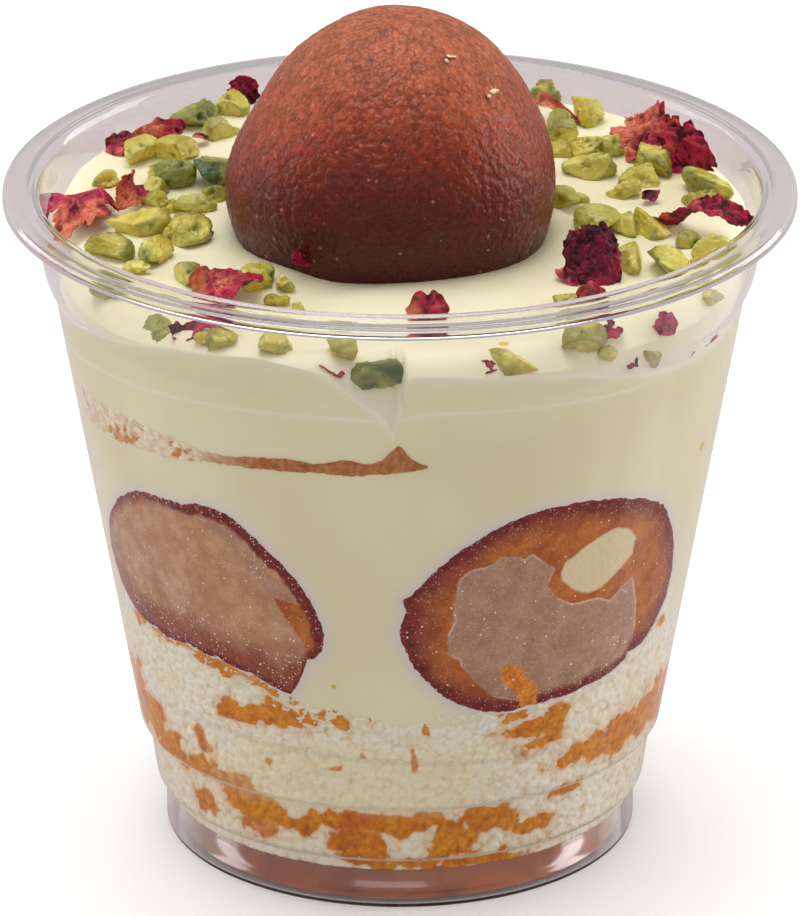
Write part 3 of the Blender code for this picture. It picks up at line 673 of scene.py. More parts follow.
def grain_group():
    """Fine noise on Object coordinates: a tone from 0 to 1 and a height."""
    group, start, end, place = shader_group("food_grain", ("Scale", "Roughness"), ("Tone", "Height"))
    fine = node(group, "ShaderNodeTexNoise", Vector=place, Scale=start["Scale"], Detail=5.0,
                Roughness=start["Roughness"])
    group.links.new(between(group, fine.outputs["Fac"], 0.3, 0.7), end["Tone"])
    group.links.new(fine.outputs["Fac"], end["Height"])
    return group


def glint_group():
    """Sparse tiny spots on Object coordinates: Spot is 1 on a spot and 0 elsewhere."""
    group, start, end, place = shader_group("food_glints", ("Scale", "Share", "Size"), ("Spot",))
    cells = node(group, "ShaderNodeTexVoronoi", Vector=place, Scale=start["Scale"])
    chosen = node(group, "ShaderNodeSeparateColor", Color=cells.outputs["Color"]).outputs["Red"]
    few = sums(group, "LESS_THAN", chosen, start["Share"])
    small = sums(group, "LESS_THAN", cells.outputs["Distance"], start["Size"])
    group.links.new(sums(group, "MULTIPLY", few, small), end["Spot"])
    return group


GRAIN = grain_group()
GLINTS = glint_group()


def grain(tree, scale, roughness=0.5):
    """The tone and height of the food grain at a scale."""
    item = node(tree, "ShaderNodeGroup", node_tree=GRAIN, Scale=scale, Roughness=roughness)
    return item.outputs["Tone"], item.outputs["Height"]


def glints(tree, scale, share, size):
    """The spots of the glint group."""
    item = node(tree, "ShaderNodeGroup", node_tree=GLINTS, Scale=scale, Share=share, Size=size)
    return item.outputs["Spot"]


def bump(tree, shader, height, distance, strength=1.0):
    """A Bump node from a height in its own unit to the shader's normal."""
    item = node(tree, "ShaderNodeBump", Height=height, Distance=distance, Strength=strength)
    tree.links.new(item.outputs["Normal"], shader.inputs["Normal"])
    return item


def clear_plastic():
    """Clear sheet: smooth plastic with a lower IOR than the real one, for calm edges.

    Lamps pass straight through it, and so does a path deeper than LONGEST_GLASS_PATH.
    """
    material, tree, shader = new_material("clear_plastic", 0.03, Base_Color=(0.955, 0.95, 0.965, 1.0),
                                          Transmission_Weight=1.0, IOR=1.37)
    through = node(tree, "ShaderNodeBsdfTransparent", Color=(0.965, 0.96, 0.965, 1.0))
    path = node(tree, "ShaderNodeLightPath")
    long_path = sums(tree, "GREATER_THAN", path.outputs["Ray Depth"], LONGEST_GLASS_PATH)
    straight = sums(tree, "MAXIMUM", path.outputs["Is Shadow Ray"], long_path)
    mix = node(tree, "ShaderNodeMixShader", Fac=straight)
    tree.links.new(shader.outputs[0], mix.inputs[1])
    tree.links.new(through.outputs[0], mix.inputs[2])
    tree.links.new(mix.outputs[0], tree.nodes["Material Output"].inputs["Surface"])
    return material


def cream_material():
    """Whipped cream: pale ivory, a little translucent, lilac-white where it thins over dark skin, with
    painted highlight lines on its side at the wall.
    """
    material, tree, shader = new_material("cream", 0.42, Subsurface_Weight=0.12, Subsurface_Scale=0.0006,
                                          Subsurface_Radius=PALE_DEPTHS, Specular_IOR_Level=0.2)
    tone, _ = grain(tree, 60.0, 0.4)
    _, height = grain(tree, 500.0, 0.5)
    colour = mixed(tree, tone, srgb(235, 228, 190), srgb(242, 237, 204))
    colour = over(tree, colour, "halo", srgb(230, 220, 222), 0.85)
    # Painted highlight lines on the cream's side at the wall
    colour = over(tree, colour, "line", srgb(252, 248, 236))
    specks = glints(tree, 260.0, 0.022, 0.16)
    colour = mixed(tree, specks, colour, srgb(226, 190, 70))
    tree.links.new(colour, shader.inputs["Base Color"])
    bump(tree, shader, height, 0.00006, 0.5)
    return material


def sponge_material():
    """Sponge crumb: white granules, ivory where cream wets it, caramel orange where syrup soaked in, painted
    shade in the hollows between granules, and painted highlights at the cup's ledges.
    """
    material, tree, shader = new_material("sponge", 0.62, Subsurface_Weight=0.3, Subsurface_Scale=0.0008,
                                          Subsurface_Radius=PALE_DEPTHS, Specular_IOR_Level=0.12)
    soaked = attribute(tree, "soaked")
    pit_shade = attribute(tree, "pit_shade")
    tone, _ = grain(tree, 260.0, 0.6)
    broad, _ = grain(tree, 55.0, 0.5)
    fine, height = grain(tree, 1600.0, 0.6)
    white = mixed(tree, tone, srgb(255, 245, 222), srgb(255, 253, 240))
    white = over(tree, white, "milky", srgb(255, 247, 212))
    brown = mixed(tree, fine, srgb(172, 98, 44), srgb(212, 148, 92))
    white = over(tree, white, "toast", brown)
    grainy, _ = grain(tree, 900.0, 0.7)
    wet = mixed(tree, tone, srgb(222, 112, 2), srgb(250, 170, 24))
    wet = mixed(tree, sums(tree, "MULTIPLY", broad, 0.6), wet, srgb(250, 182, 66))
    wet = mixed(tree, sums(tree, "MULTIPLY", grainy, 0.5), wet, srgb(190, 90, 4))
    colour = mixed(tree, soaked, white, wet)
    # Painted shade between the granules: tan in the white crumb, dark orange where soaked
    dark = mixed(tree, soaked, srgb(236, 200, 140), srgb(180, 78, 2))
    dark = over(tree, dark, "toast", srgb(154, 84, 38))
    colour = mixed(tree, pit_shade, colour, dark)
    # Pale line: painted highlights at the cup's ledges on the sponge's side, and a pale line along the disc's
    # border
    colour = over(tree, colour, "line", srgb(255, 250, 240))
    tree.links.new(colour, shader.inputs["Base Color"])
    tree.links.new(between(tree, soaked, 0.0, 1.0, 0.66, 0.36), shader.inputs["Roughness"])
    bump(tree, shader, height, 0.0003, 0.7)
    return material


def jamun_skin_material():
    """Fried skin of the whole gulab jamun: dark red-brown, lighter on top and darker low and in front, partly
    as painted light and shade, finely pebbled, with painted shade in its hollows, and glints.
    """
    material, tree, shader = new_material("jamun_skin", 0.36, Subsurface_Weight=0.06, Subsurface_Scale=0.001,
                                          Subsurface_Radius=(1.0, 0.3, 0.15), Specular_IOR_Level=0.3)
    tone, _ = grain(tree, 130.0, 0.6)
    fine, height = grain(tree, 1500.0, 0.55)
    pebble, _ = grain(tree, 1250.0, 0.35)
    # Lighter on top, darker low and in front: partly its own colour from frying, partly painted light and
    # shade
    ramp = node(tree, "ShaderNodeValToRGB", Fac=attribute(tree, "fry_and_painted_shading"))
    colours = [(0.0, srgb(80, 12, 2)), (0.25, srgb(116, 28, 8)), (0.5, srgb(162, 58, 26)),
               (0.78, srgb(196, 94, 56)), (1.0, srgb(210, 116, 76))]
    while len(ramp.color_ramp.elements) < len(colours):
        ramp.color_ramp.elements.new(0.5)
    for element, (place, colour) in zip(ramp.color_ramp.elements, colours):
        element.position = place
        element.color = colour
    fry_and_painted_shading = ramp.outputs["Color"]
    colour = mixed(tree, tone, mixed(tree, 0.14, fry_and_painted_shading, srgb(60, 16, 10)), fry_and_painted_shading)
    # Painted shade in the skin's hollows and wrinkles
    colour = over(tree, colour, "pit_shade", srgb(62, 18, 12))
    spots = glints(tree, 1100.0, 0.12, 0.22)
    colour = mixed(tree, sums(tree, "MULTIPLY", spots, 0.4), colour, srgb(226, 160, 120))
    # Painted shade in the low spots of the pebbles
    colour = mixed(tree, sums(tree, "MULTIPLY_ADD", pebble, -0.22, 0.22), colour, srgb(60, 12, 6))
    tree.links.new(colour, shader.inputs["Base Color"])
    tree.links.new(between(tree, fine, 0.0, 1.0, 0.26, 0.42), shader.inputs["Roughness"])
    bump(tree, shader, sums(tree, "MULTIPLY_ADD", height, 0.5, pebble), 0.0002, 0.8)
    return material


def jamun_cut_material():
    """Cut face of a half: beige crumb, caramel towards the skin, dark maroon skin, syrup glints."""
    material, tree, shader = new_material("jamun_crumb", 0.4, Subsurface_Weight=0.12, Subsurface_Scale=0.0006,
                                          Subsurface_Radius=(1.0, 0.5, 0.3), Specular_IOR_Level=0.1)
    tone, _ = grain(tree, 420.0, 0.65)
    broad, _ = grain(tree, 110.0, 0.5)
    fibre, height = grain(tree, 1500.0, 0.6)
    crumb = mixed(tree, tone, srgb(178, 126, 94), srgb(210, 166, 134))
    crumb = mixed(tree, sums(tree, "MULTIPLY", broad, 0.3), crumb, srgb(206, 150, 96))
    caramel = mixed(tree, tone, srgb(164, 78, 16), srgb(208, 122, 44))
    colour = mixed(tree, attribute(tree, "caramel"), crumb, caramel)
    pressed = mixed(tree, tone, srgb(168, 122, 98), srgb(190, 150, 126))
    place = node(tree, "ShaderNodeTexCoord").outputs["Object"]
    cells = node(tree, "ShaderNodeTexVoronoi", feature="DISTANCE_TO_EDGE", Vector=place,
                 Scale=CELLS_PER_METRE)
    net = sums(tree, "MULTIPLY", between(tree, cells.outputs["Distance"], 0.0, 0.12, 1.0, 0.0), 0.14)
    pressed = mixed(tree, net, pressed, srgb(226, 196, 178))
    colour = over(tree, colour, "pressed", pressed)
    colour = over(tree, colour, "edge", srgb(232, 206, 190))
    colour = over(tree, colour, "red", mixed(tree, fibre, srgb(122, 34, 18), srgb(160, 70, 46)))
    colour = over(tree, colour, "cream", srgb(232, 216, 176))
    skin = mixed(tree, fibre, srgb(88, 10, 10), srgb(144, 36, 28))
    colour = over(tree, colour, "skin", skin)
    colour = over(tree, colour, "orange", mixed(tree, fibre, srgb(206, 106, 12), srgb(246, 160, 50)))
    spots = sums(tree, "MAXIMUM", glints(tree, 3000.0, 0.42, 0.28), glints(tree, 1500.0, 0.12, 0.2))
    few = glints(tree, 2400.0, 0.03, 0.3)
    shown = sums(tree, "MAXIMUM", sums(tree, "MULTIPLY", spots, attribute(tree, "shine")), few)
    colour = mixed(tree, sums(tree, "MULTIPLY", shown, 0.9), colour, srgb(255, 244, 232))
    tree.links.new(colour, shader.inputs["Base Color"])
    bump(tree, shader, height, 0.00025, 0.7)
    return material


def pistachio_material():
    """Pistachio: yellow-green flesh on cut sides, dark green where the skin stayed on and, as painted shade,
    in chipped hollows, oily sheen.
    """
    material, tree, shader = new_material("pistachio", 0.26, Subsurface_Weight=0.12, Subsurface_Scale=0.0006,
                                          Subsurface_Radius=(0.8, 1.0, 0.3), Specular_IOR_Level=0.6)
    tone, _ = grain(tree, 300.0, 0.6)
    _, height = grain(tree, 1100.0, 0.6)
    flesh = mixed(tree, tone, srgb(196, 176, 36), srgb(232, 220, 112))
    green = mixed(tree, tone, srgb(46, 70, 20), srgb(112, 132, 48))
    colour = mixed(tree, attribute(tree, "green"), flesh, green)
    colour = over(tree, colour, "rim", srgb(140, 110, 30))
    tree.links.new(colour, shader.inputs["Base Color"])
    bump(tree, shader, height, 0.0004, 0.7)
    return material


def petal_material():
    """Dried rose petal: crimson, darkened to nearly black in the folds as painted shade, salmon towards its
    base and on ridges.
    """
    material, tree, shader = new_material("rose_petal", 0.5, Subsurface_Weight=0.08, Subsurface_Scale=0.0004,
                                          Specular_IOR_Level=0.25)
    tone, _ = grain(tree, 500.0, 0.6)
    _, height = grain(tree, 1200.0, 0.6)
    dark = mixed(tree, tone, srgb(126, 8, 40), srgb(202, 36, 86))
    dark = over(tree, dark, "deep", mixed(tree, tone, srgb(62, 6, 26), srgb(108, 14, 46)))
    salmon = mixed(tree, tone, srgb(186, 70, 52), srgb(236, 142, 104))
    colour = mixed(tree, attribute(tree, "salmon"), dark, salmon)
    colour = over(tree, colour, "ridge", srgb(226, 120, 110))
    # Painted shade in the folds
    colour = over(tree, colour, "fold", srgb(44, 4, 18))
    tree.links.new(colour, shader.inputs["Base Color"])
    bump(tree, shader, height, 0.0003, 0.8)
    return material


def outside_glass(tree):
    """1 where a surface is seen or lights another, and 0 where it only shows in clear plastic."""
    path = node(tree, "ShaderNodeLightPath")
    return sums(tree, "MAXIMUM", path.outputs["Is Camera Ray"],
                sums(tree, "MINIMUM", path.outputs["Diffuse Depth"], 1.0))


def floor_material():
    """Matt floor: white when seen, quieter where it lights things or shows in plastic, with a slight glow."""
    material, tree, shader = new_material("floor", 0.9, Specular_IOR_Level=0.0, Coat_Roughness=0.12)
    open_air = outside_glass(tree)
    path = node(tree, "ShaderNodeLightPath")
    seen = path.outputs["Is Camera Ray"]
    colour = mixed(tree, seen, mixed(tree, open_air, FLOOR_IN_GLASS, FLOOR_LIGHTING), FLOOR_SEEN)
    tree.links.new(between(tree, open_air, 0.0, 1.0, 1.0, 0.0), shader.inputs["Coat Weight"])
    tree.links.new(colour, shader.inputs["Base Color"])
    unlit = sums(tree, "SUBTRACT", 1.0, sums(tree, "MINIMUM", path.outputs["Diffuse Depth"], 1.0))
    tree.links.new(mixed(tree, seen, FLOOR_IN_GLASS, FLOOR_SEEN), shader.inputs["Emission Color"])
    tree.links.new(sums(tree, "MULTIPLY", unlit, FLOOR_GLOW), shader.inputs["Emission Strength"])
    return material


# Cup

def make_cup(material):
    """The cup's sheet: its middle line moved half its thickness to each side, and turned.

    The lip ends in a slope that faces the wall, so that no dark line shows along it.
    """
    outer = beside(MIDDLE_LINE, 0.5 * SHEET)
    inner = beside(MIDDLE_LINE, -0.5 * SHEET)
    lip = inner[:1] - [[0.0, LIP_SLOPE]]
    profile = np.concatenate([outer[::-1], lip, inner])
    azimuth = np.arange(CUP_COLUMNS) * 360.0 / CUP_COLUMNS
    grid = round_cup(azimuth[None], profile[:, :1], profile[:, 1:])
    add_surface("cup_sheet", grid, material, ["cup"])


# Halves of gulab jamun

HALF_LEFT = on_wall(HALF_LEFT_PX)
HALF_RIGHT = on_wall(HALF_RIGHT_PX)


def outline_reach(outline, centre, turn):
    """Distance from the centre to a closed outline, by angle, in millimetres on the wall."""
    across, up = wall_plane(np.array(outline, float), centre)
    angle = np.degrees(np.arctan2(up, across)) % 360
    order = np.argsort(angle)
    return np.interp(np.degrees(turn) % 360, angle[order], np.hypot(across, up)[order], period=360)


def wall_plane(places, centre):
    """Azimuth and height as millimetres across and up from a centre on the wall."""
    scale = math.radians(1) * wall_radius(centre[1])
    return (places[..., 0] - centre[0]) * scale, places[..., 1] - centre[1]


def outline_distance(places, outline, centre):
    """Distance on the wall to a closed outline, the least to any of its sides, negative inside."""
    across, up = wall_plane(places, centre)
    side_across, side_up = wall_plane(np.array(outline, float), centre)
    least = np.full(across.shape, 1e9)
    inside = np.zeros(across.shape, bool)
    for here in range(len(outline)):
        ax, ay, bx, by = side_across[here - 1], side_up[here - 1], side_across[here], side_up[here]
        share = ((across - ax) * (bx - ax) + (up - ay) * (by - ay)) / ((bx - ax) ** 2 + (by - ay) ** 2)
        share = np.clip(share, 0, 1)
        least = np.minimum(least, np.hypot(across - ax - share * (bx - ax), up - ay - share * (by - ay)))
        crossing = ax + (up - ay) / (by - ay + 1e-9) * (bx - ax)
        inside ^= ((ay > up) != (by > up)) & (across < crossing)
    return np.where(inside, -least, least)


def inside_outline(places, outline, centre, blur):
    """1 inside a closed outline, 0 outside, over blur millimetres; its distance comes second."""
    away = outline_distance(places, outline, centre)
    return 1 - step_between(-blur, blur, away), away


def half_centre(outline):
    """The middle of an outline."""
    places = np.array(outline, float)
    return 0.5 * (places.min(axis=0) + places.max(axis=0))


def make_half(name, outline, material, columns, rows, marks):
    """One half: its cut face lies against the wall, and its dome reaches in behind.

    Rows run from the middle of the cut face out to its outline and then back over the dome,
    whose depth is HALF_DEPTH times the root of 1 - share squared.
    """
    centre = half_centre(outline)
    turn = np.arange(columns) * 2 * math.pi / columns
    share = np.concatenate([np.linspace(0.01, 1, rows), np.sin(np.linspace(0.97, 0.02, 24) * math.pi / 2)])
    depth = np.concatenate([np.zeros(rows), HALF_DEPTH * np.sqrt(1 - share[rows:] ** 2) + 0.35])
    reach = outline_reach(outline, centre, turn)
    ring = np.stack([reach * np.cos(turn), reach * np.sin(turn), 0 * turn], axis=-1)
    reach = reach + 0.12 * fractal(ring, 0.6, 2, 31) + 0.1 * fractal(ring, 0.3, 1, 33)
    across = share[:, None] * reach[None] * np.cos(turn)[None]
    up = share[:, None] * reach[None] * np.sin(turn)[None]
    height = centre[1] + up
    azimuth = centre[0] + np.degrees(across / wall_radius(centre[1]))
    flat = round_cup(azimuth, wall_radius(height), height)
    crumb = 0.05 * fractal(flat, 0.9, 3, 41) + 0.03 * fractal(flat, 3.5, 2, 43)
    edge = step_between(0.955, 1.0, share)[:, None]
    radius = wall_radius(height) + HALF_IN_WALL + crumb - 0.3 * edge - depth[:, None]
    grid = round_cup(azimuth, radius, height)
    places = np.stack([azimuth, height], axis=-1)
    inside = (1 - share)[:, None] * reach[None]
    values = marks(places, inside, flat, depth[:, None] + 0 * inside)
    add_surface(name, grid, material, [name.replace("_look", "")], values)


def plain_marks(places, inside, flat, depth):
    """Skin at the outline and over the dome, caramel inside it, crumb in the middle."""
    rough = fractal(flat, 2.2, 3, 51)
    skin = np.maximum(1 - step_between(0.7, 1.5, inside + 0.5 * rough), depth > 0.4)
    caramel = 1 - step_between(2.0, 5.0, inside + 2.0 * rough)
    zero = 0 * inside
    return {"skin": skin, "caramel": caramel, "pressed": zero, "red": zero, "cream": zero, "orange": zero,
            "shine": zero + 0.3, "edge": zero}


def left_marks(places, inside, flat, depth):
    """Beige crumb, red towards the lower left, amber strip at the right, skin thick at the top right."""
    rough = fractal(flat, 2.0, 3, 52)
    fine = fractal(flat, 0.5, 2, 53)
    azimuth, height = places[..., 0], places[..., 1]
    centre = half_centre(HALF_LEFT)
    inside = -outline_distance(places, HALF_LEFT, centre)
    right_side = step_between(-60, -30, azimuth)
    width = 0.5 + 1.1 * right_side * step_between(34, 42, height + 0.3 * (azimuth + 30))
    ragged = inside + 0.35 * rough + 0.35 * fine
    skin = np.maximum(1 - step_between(width - 0.1, width + 0.5, ragged), depth > 0.4)
    low_left = 1 - step_between(-3.0, 3.0, (height - 39.0) + 0.12 * (azimuth + 60) + 2.0 * rough)
    red = 0.9 * low_left * (1 - step_between(1.4, 6.4, inside + 1.4 * rough))
    red = np.maximum(red, 0.75 * (1 - step_between(0.8, 2.0, inside + 0.6 * rough)))
    warp = np.stack([fine, rough], axis=-1)
    amber, _ = inside_outline(places + 0.3 * warp, on_wall(AMBER_PX), centre, 0.15)
    glaze, _ = inside_outline(places + 0.5 * warp, on_wall(GLAZE_PX), centre, 0.4)
    bits = step_between(0.2, 0.35, fractal(flat, 1.3, 2, 54)) * glaze
    patchy = step_between(-0.1, 0.35, fractal(flat, 3.0, 2, 58))
    shine = np.clip(0.2 + (0.85 * glaze + 0.9 * red + 0.3) * patchy + 0.3 * skin, 0, 1)
    return {"skin": skin, "caramel": np.maximum(amber, 0.6 * bits), "pressed": 0.8 * glaze * (1 - amber),
            "red": red * (1 - amber), "cream": 0 * inside, "orange": 0 * inside, "shine": shine,
            "edge": 0 * inside}


def right_marks(places, inside, flat, depth):
    """Caramel ring with a pressed lilac-beige area, a cream pocket, orange crumb and soft dark skin."""
    rough = fractal(flat, 2.0, 3, 55)
    fine = fractal(flat, 0.5, 2, 56)
    centre = half_centre(HALF_RIGHT)
    inside = -outline_distance(places, HALF_RIGHT, centre)
    flap = 1 - step_between(2.4, 4.6, places[..., 0] + 0.8 * rough)
    dusk = 0.7 * (1 - step_between(4.5, 10.0, places[..., 0] + 1.5 * rough))
    skin = np.maximum(1 - step_between(0.9, 2.2, inside + 0.6 * rough + 0.35 * fine), depth > 0.4)
    skin = np.maximum(skin, flap)
    red = np.maximum(0.85 * (1 - step_between(1.4, 4.0, inside + 0.9 * rough)), dusk)
    warp = np.stack([fine, rough], axis=-1)
    moved = places + 0.22 * warp
    pressed, away = inside_outline(moved, on_wall(PRESSED_PX), centre, 0.1)
    edge = np.exp(-(away / 0.1) ** 2) * step_between(-0.4, 0.3, fractal(flat, 3.0, 2, 57))
    cream, _ = inside_outline(moved, on_wall(POCKET_PX), centre, 0.2)
    orange, _ = inside_outline(places + 0.5 * warp, on_wall(ORANGE_PX), centre, 0.15)
    return {"skin": skin * (1 - orange), "caramel": 1 + 0 * inside, "pressed": pressed,
            "red": red * (1 - pressed), "cream": cream, "orange": orange,
            "shine": 0.16 + 0.14 * pressed + 0.24 * red, "edge": edge}


def halo_at(places):
    """Thin cream over dark skin: near 1 just outside a half's outline, fading over 1 mm."""
    total = np.zeros(places.shape[:-1])
    for outline in (HALF_LEFT, HALF_RIGHT):
        away = outline_distance(places, outline, half_centre(outline))
        total = np.maximum(total, np.exp(-np.clip(away, 0, 9) / 0.7) * (away < 4))
    return total


def make_halves(material):
    """The two halves that the picture shows, and two like them at the back."""
    make_half("jamun_half_front_left_look", HALF_LEFT, material, 400, 110, left_marks)
    make_half("jamun_half_front_right_look", HALF_RIGHT, material, 420, 110, right_marks)
    for name, azimuth, height in (("back_right", 124.0, 40.0), ("back_left", -136.0, 39.0)):
        outline = [(azimuth + across, height + up) for across, up in HALF_BACK]
        make_half("jamun_half_%s_look" % name, outline, material, 300, 70, plain_marks)


# Sponge

def soaked_at(places, flat, number):
    """How far syrup has soaked in: the strongest of the patches, ragged and with a faint border."""
    rough = 0.9 * fractal(flat, 3.6, 4, 61, 0.65) + 0.2 * (number - 0.5)
    azimuth = places[..., 0] + 5.0 * fractal(flat, 4.0, 3, 64, 0.6)
    height = places[..., 1] + 2.6 * fractal(flat, 4.0, 3, 66, 0.6)
    total = np.zeros(places.shape[:-1])
    for middle, level, wide, high, strength in SOAKED:
        turn = (azimuth - middle + 180) % 360 - 180
        away = np.hypot(turn / wide, (height - level) / high) - 0.8 * rough
        total = np.maximum(total, strength * (1 - step_between(0.9, 1.08, away)))
        total = np.maximum(total, 0.3 * strength * (1 - step_between(1.0, 1.6, away)))
    return total


def milky_at(places, flat):
    """Crumb that is wet with cream, in the middle of the front."""
    azimuth, height = places[..., 0], places[..., 1]
    away = np.maximum(np.abs(azimuth + 12) / 30, np.abs(height - 17.6) / 4.6)
    return 1 - step_between(0.75, 1.15, away - 0.35 * fractal(flat, 4.0, 2, 63))


def half_distance(places):
    """Distance along the wall to the nearer front half's outline, negative inside it."""
    left = outline_distance(places, HALF_LEFT, half_centre(HALF_LEFT))
    right = outline_distance(places, HALF_RIGHT, half_centre(HALF_RIGHT))
    return np.minimum(left, right)


def make_sponge_side(name, lower, upper, columns, rows, rise, material, replaced):
    """A slice of sponge: a granular side in the wall, ragged against what lies above, and plain ends.

    The side stands SPONGE_IN_WALL into the wall. Each granule falls away as the square of the
    distance to its middle, and the side drops back where it is above the slice's uneven top, so
    that the cream shows there. A strip under the left half is soaked.
    """
    azimuth = front_columns(columns, 0.55)
    low = ring_value(lower, azimuth)
    high = ring_value(upper, azimuth)
    height = wall_rows(low - 0.3, high + rise, np.linspace(0, 1, rows)[:, None])
    azimuth = azimuth[None] + 0 * height
    flat = round_cup(azimuth, wall_radius(height), height)
    places = np.stack([azimuth, height], axis=-1)
    warped = flat + 0.25 * fractal(flat, 0.9, 2, 71)[..., None]
    near, _, number = grains(warped, 0.95, 72)
    fine_near, _, fine_number = grains(warped, 0.48, 75)
    lump = fractal(flat, 2.2, 3, 74)
    apart = half_distance(places)
    cover = np.ones_like(height)
    if rise > 1.0:
        coarse = fractal(flat, 3.4, 3, 73)
        cover = step_between(-0.3, 0.3, high - height + 0.9 * coarse + 0.3 - 0.6 * near)
        cover = cover * step_between(-0.3, 0.1, apart + 0.15 - 0.3 * near)
    milky = milky_at(places, flat)
    depth = (0.34 * near ** 2 + 0.2 * fine_near ** 2 + 0.14 * (number - 0.5) + 0.06 * (fine_number - 0.5)
             - 0.12 * lump)
    depth = depth * (1 - 0.1 * milky)
    seam = np.exp(-((height - ring_value(SPONGE_SEAM, azimuth)) / 0.25) ** 2)
    radius = wall_radius(height) + SPONGE_IN_WALL - depth - 0.1 * seam - 1.2 * (1 - cover)
    strip = (1 - step_between(0.5, 1.3, apart + 0.7 * lump)) * (azimuth < -15) * (azimuth > -66)
    marks = {
        "soaked": np.maximum(soaked_at(places, flat, number) * (1 - 0.2 * milky), 0.9 * strip),
        # Painted shade in the hollows between granules
        "pit_shade": np.clip(0.8 * near ** 3 + 0.6 * fine_near ** 3 - 0.1, 0, 1) * (1 - 0.25 * milky),
        "milky": 0.8 * milky,
        "toast": 0 * height,
        # Painted highlight of the cup's ledges
        "line": ledge_highlight_at(height),
    }
    add_band(name, azimuth, radius, height, (0.15, 0.5, 0.8, 0.93), marks, material, replaced)


def ledge_highlight_at(height):
    """A painted highlight: a pale line, faintly double, where the cup's ledge gathers light over the
    contents.
    """
    total = 0 * height
    for ledge in LEDGES:
        second = 0.5 * np.exp(-((height - ledge + 0.42) / 0.09) ** 2)
        total = total + np.exp(-((height - ledge) / 0.11) ** 2) + second
    return 0.9 * np.clip(total, 0, 1)


def make_disc(material):
    """The sponge disc: a band in the wall at the front left, sinking behind the cream elsewhere."""
    columns, rows = 960, 60
    azimuth = front_columns(columns, 0.6)
    low = ring_value(DISC_LOWER, azimuth)
    high = ring_value(DISC_UPPER, azimuth)
    height = (low - 0.8) + np.linspace(0, 1, rows)[:, None] * (high - low + 1.6)
    azimuth = azimuth[None] + 0 * height
    flat = round_cup(azimuth, wall_radius(height), height)
    crumbly = 1 - step_between(-42, -24, azimuth)
    near, _, number = grains(flat + 0.25 * fractal(flat, 1.2, 2, 81)[..., None], 0.95, 82)
    fine_near, _, _ = grains(flat, 0.5, 83)
    lump = fractal(flat, 1.4, 3, 84)
    uneven = (0.16 + 0.14 * crumbly) * (lump + 0.8 - 1.6 * near)
    cover = step_between(-0.15, 0.15, (high - height) + uneven)
    cover = cover * step_between(-0.15, 0.15, (height - low) + uneven)
    cover = cover * ring_value(DISC_REACH, azimuth)
    relief = (0.24 * near ** 2 + 0.16 * fine_near ** 2) * (0.4 + 0.6 * crumbly)
    radius = wall_radius(height) + SPONGE_IN_WALL - relief + 0.04 * lump - 1.3 * (1 - cover)
    wet = fractal(flat, 4.0, 3, 85) + 0.5 * (number - 0.5)
    marks = {
        "soaked": 0.9 * step_between(0.12, 0.3, wet) * crumbly * (height < high - 0.6),
        # Painted shade in the hollows between granules
        "pit_shade": np.clip(0.9 * near ** 3 + 0.6 * fine_near ** 3, 0, 1),
        "milky": 0 * height,
        "toast": np.clip((1 - crumbly) + 0.35 * crumbly * number, 0, 1),
        "line": np.exp(-((cover - 0.5) / 0.16) ** 2) * (1 - crumbly) * 0.8,
    }
    add_band("sponge_disc_look", azimuth, radius, height, (0.2, 0.6, 0.9), marks, material,
             ["sponge_disc"])


# Cream

def crease_highlight_at(places):
    """A painted highlight: a thin pale line where two spoonfuls of cream meet at the wall."""
    line = ring_value(CREASE_HIGHLIGHT, places[..., 0])
    shown = step_between(-86, -76, places[..., 0]) * (1 - step_between(42, 52, places[..., 0]))
    return np.exp(-((places[..., 1] - line) / 0.22) ** 2) * shown


def make_cream_lower(material):
    """The lower cream: its side stands a little into the wall, behind what lies in front of it.

    It meets the upper cream's side without a step: past their joint each falls back by JOINT_FALL
    times the square of the distance.
    """
    columns, rows = 560, 136
    azimuth = front_columns(columns, 0.4)[None]
    joint = ring_value(DISC_LOWER, azimuth) + JOINT_RISE
    height = wall_rows(ring_value(SPONGE_TOP, azimuth) - 3.0, joint + 1.4, np.linspace(0, 1, rows)[:, None])
    azimuth = azimuth + 0 * height
    flat = round_cup(azimuth, wall_radius(height), height)
    above = np.maximum(height - joint, 0)
    radius = wall_radius(height) + CREAM_IN_WALL + 0.03 * fractal(flat, 6.0, 2, 91) - JOINT_FALL * above ** 2
    marks = {"halo": halo_at(np.stack([azimuth, height], axis=-1)), "line": 0 * height}
    add_band("cream_lower_look", azimuth, radius, height, (0.2, 0.6, 0.9), marks, material,
             ["cream_lower"])


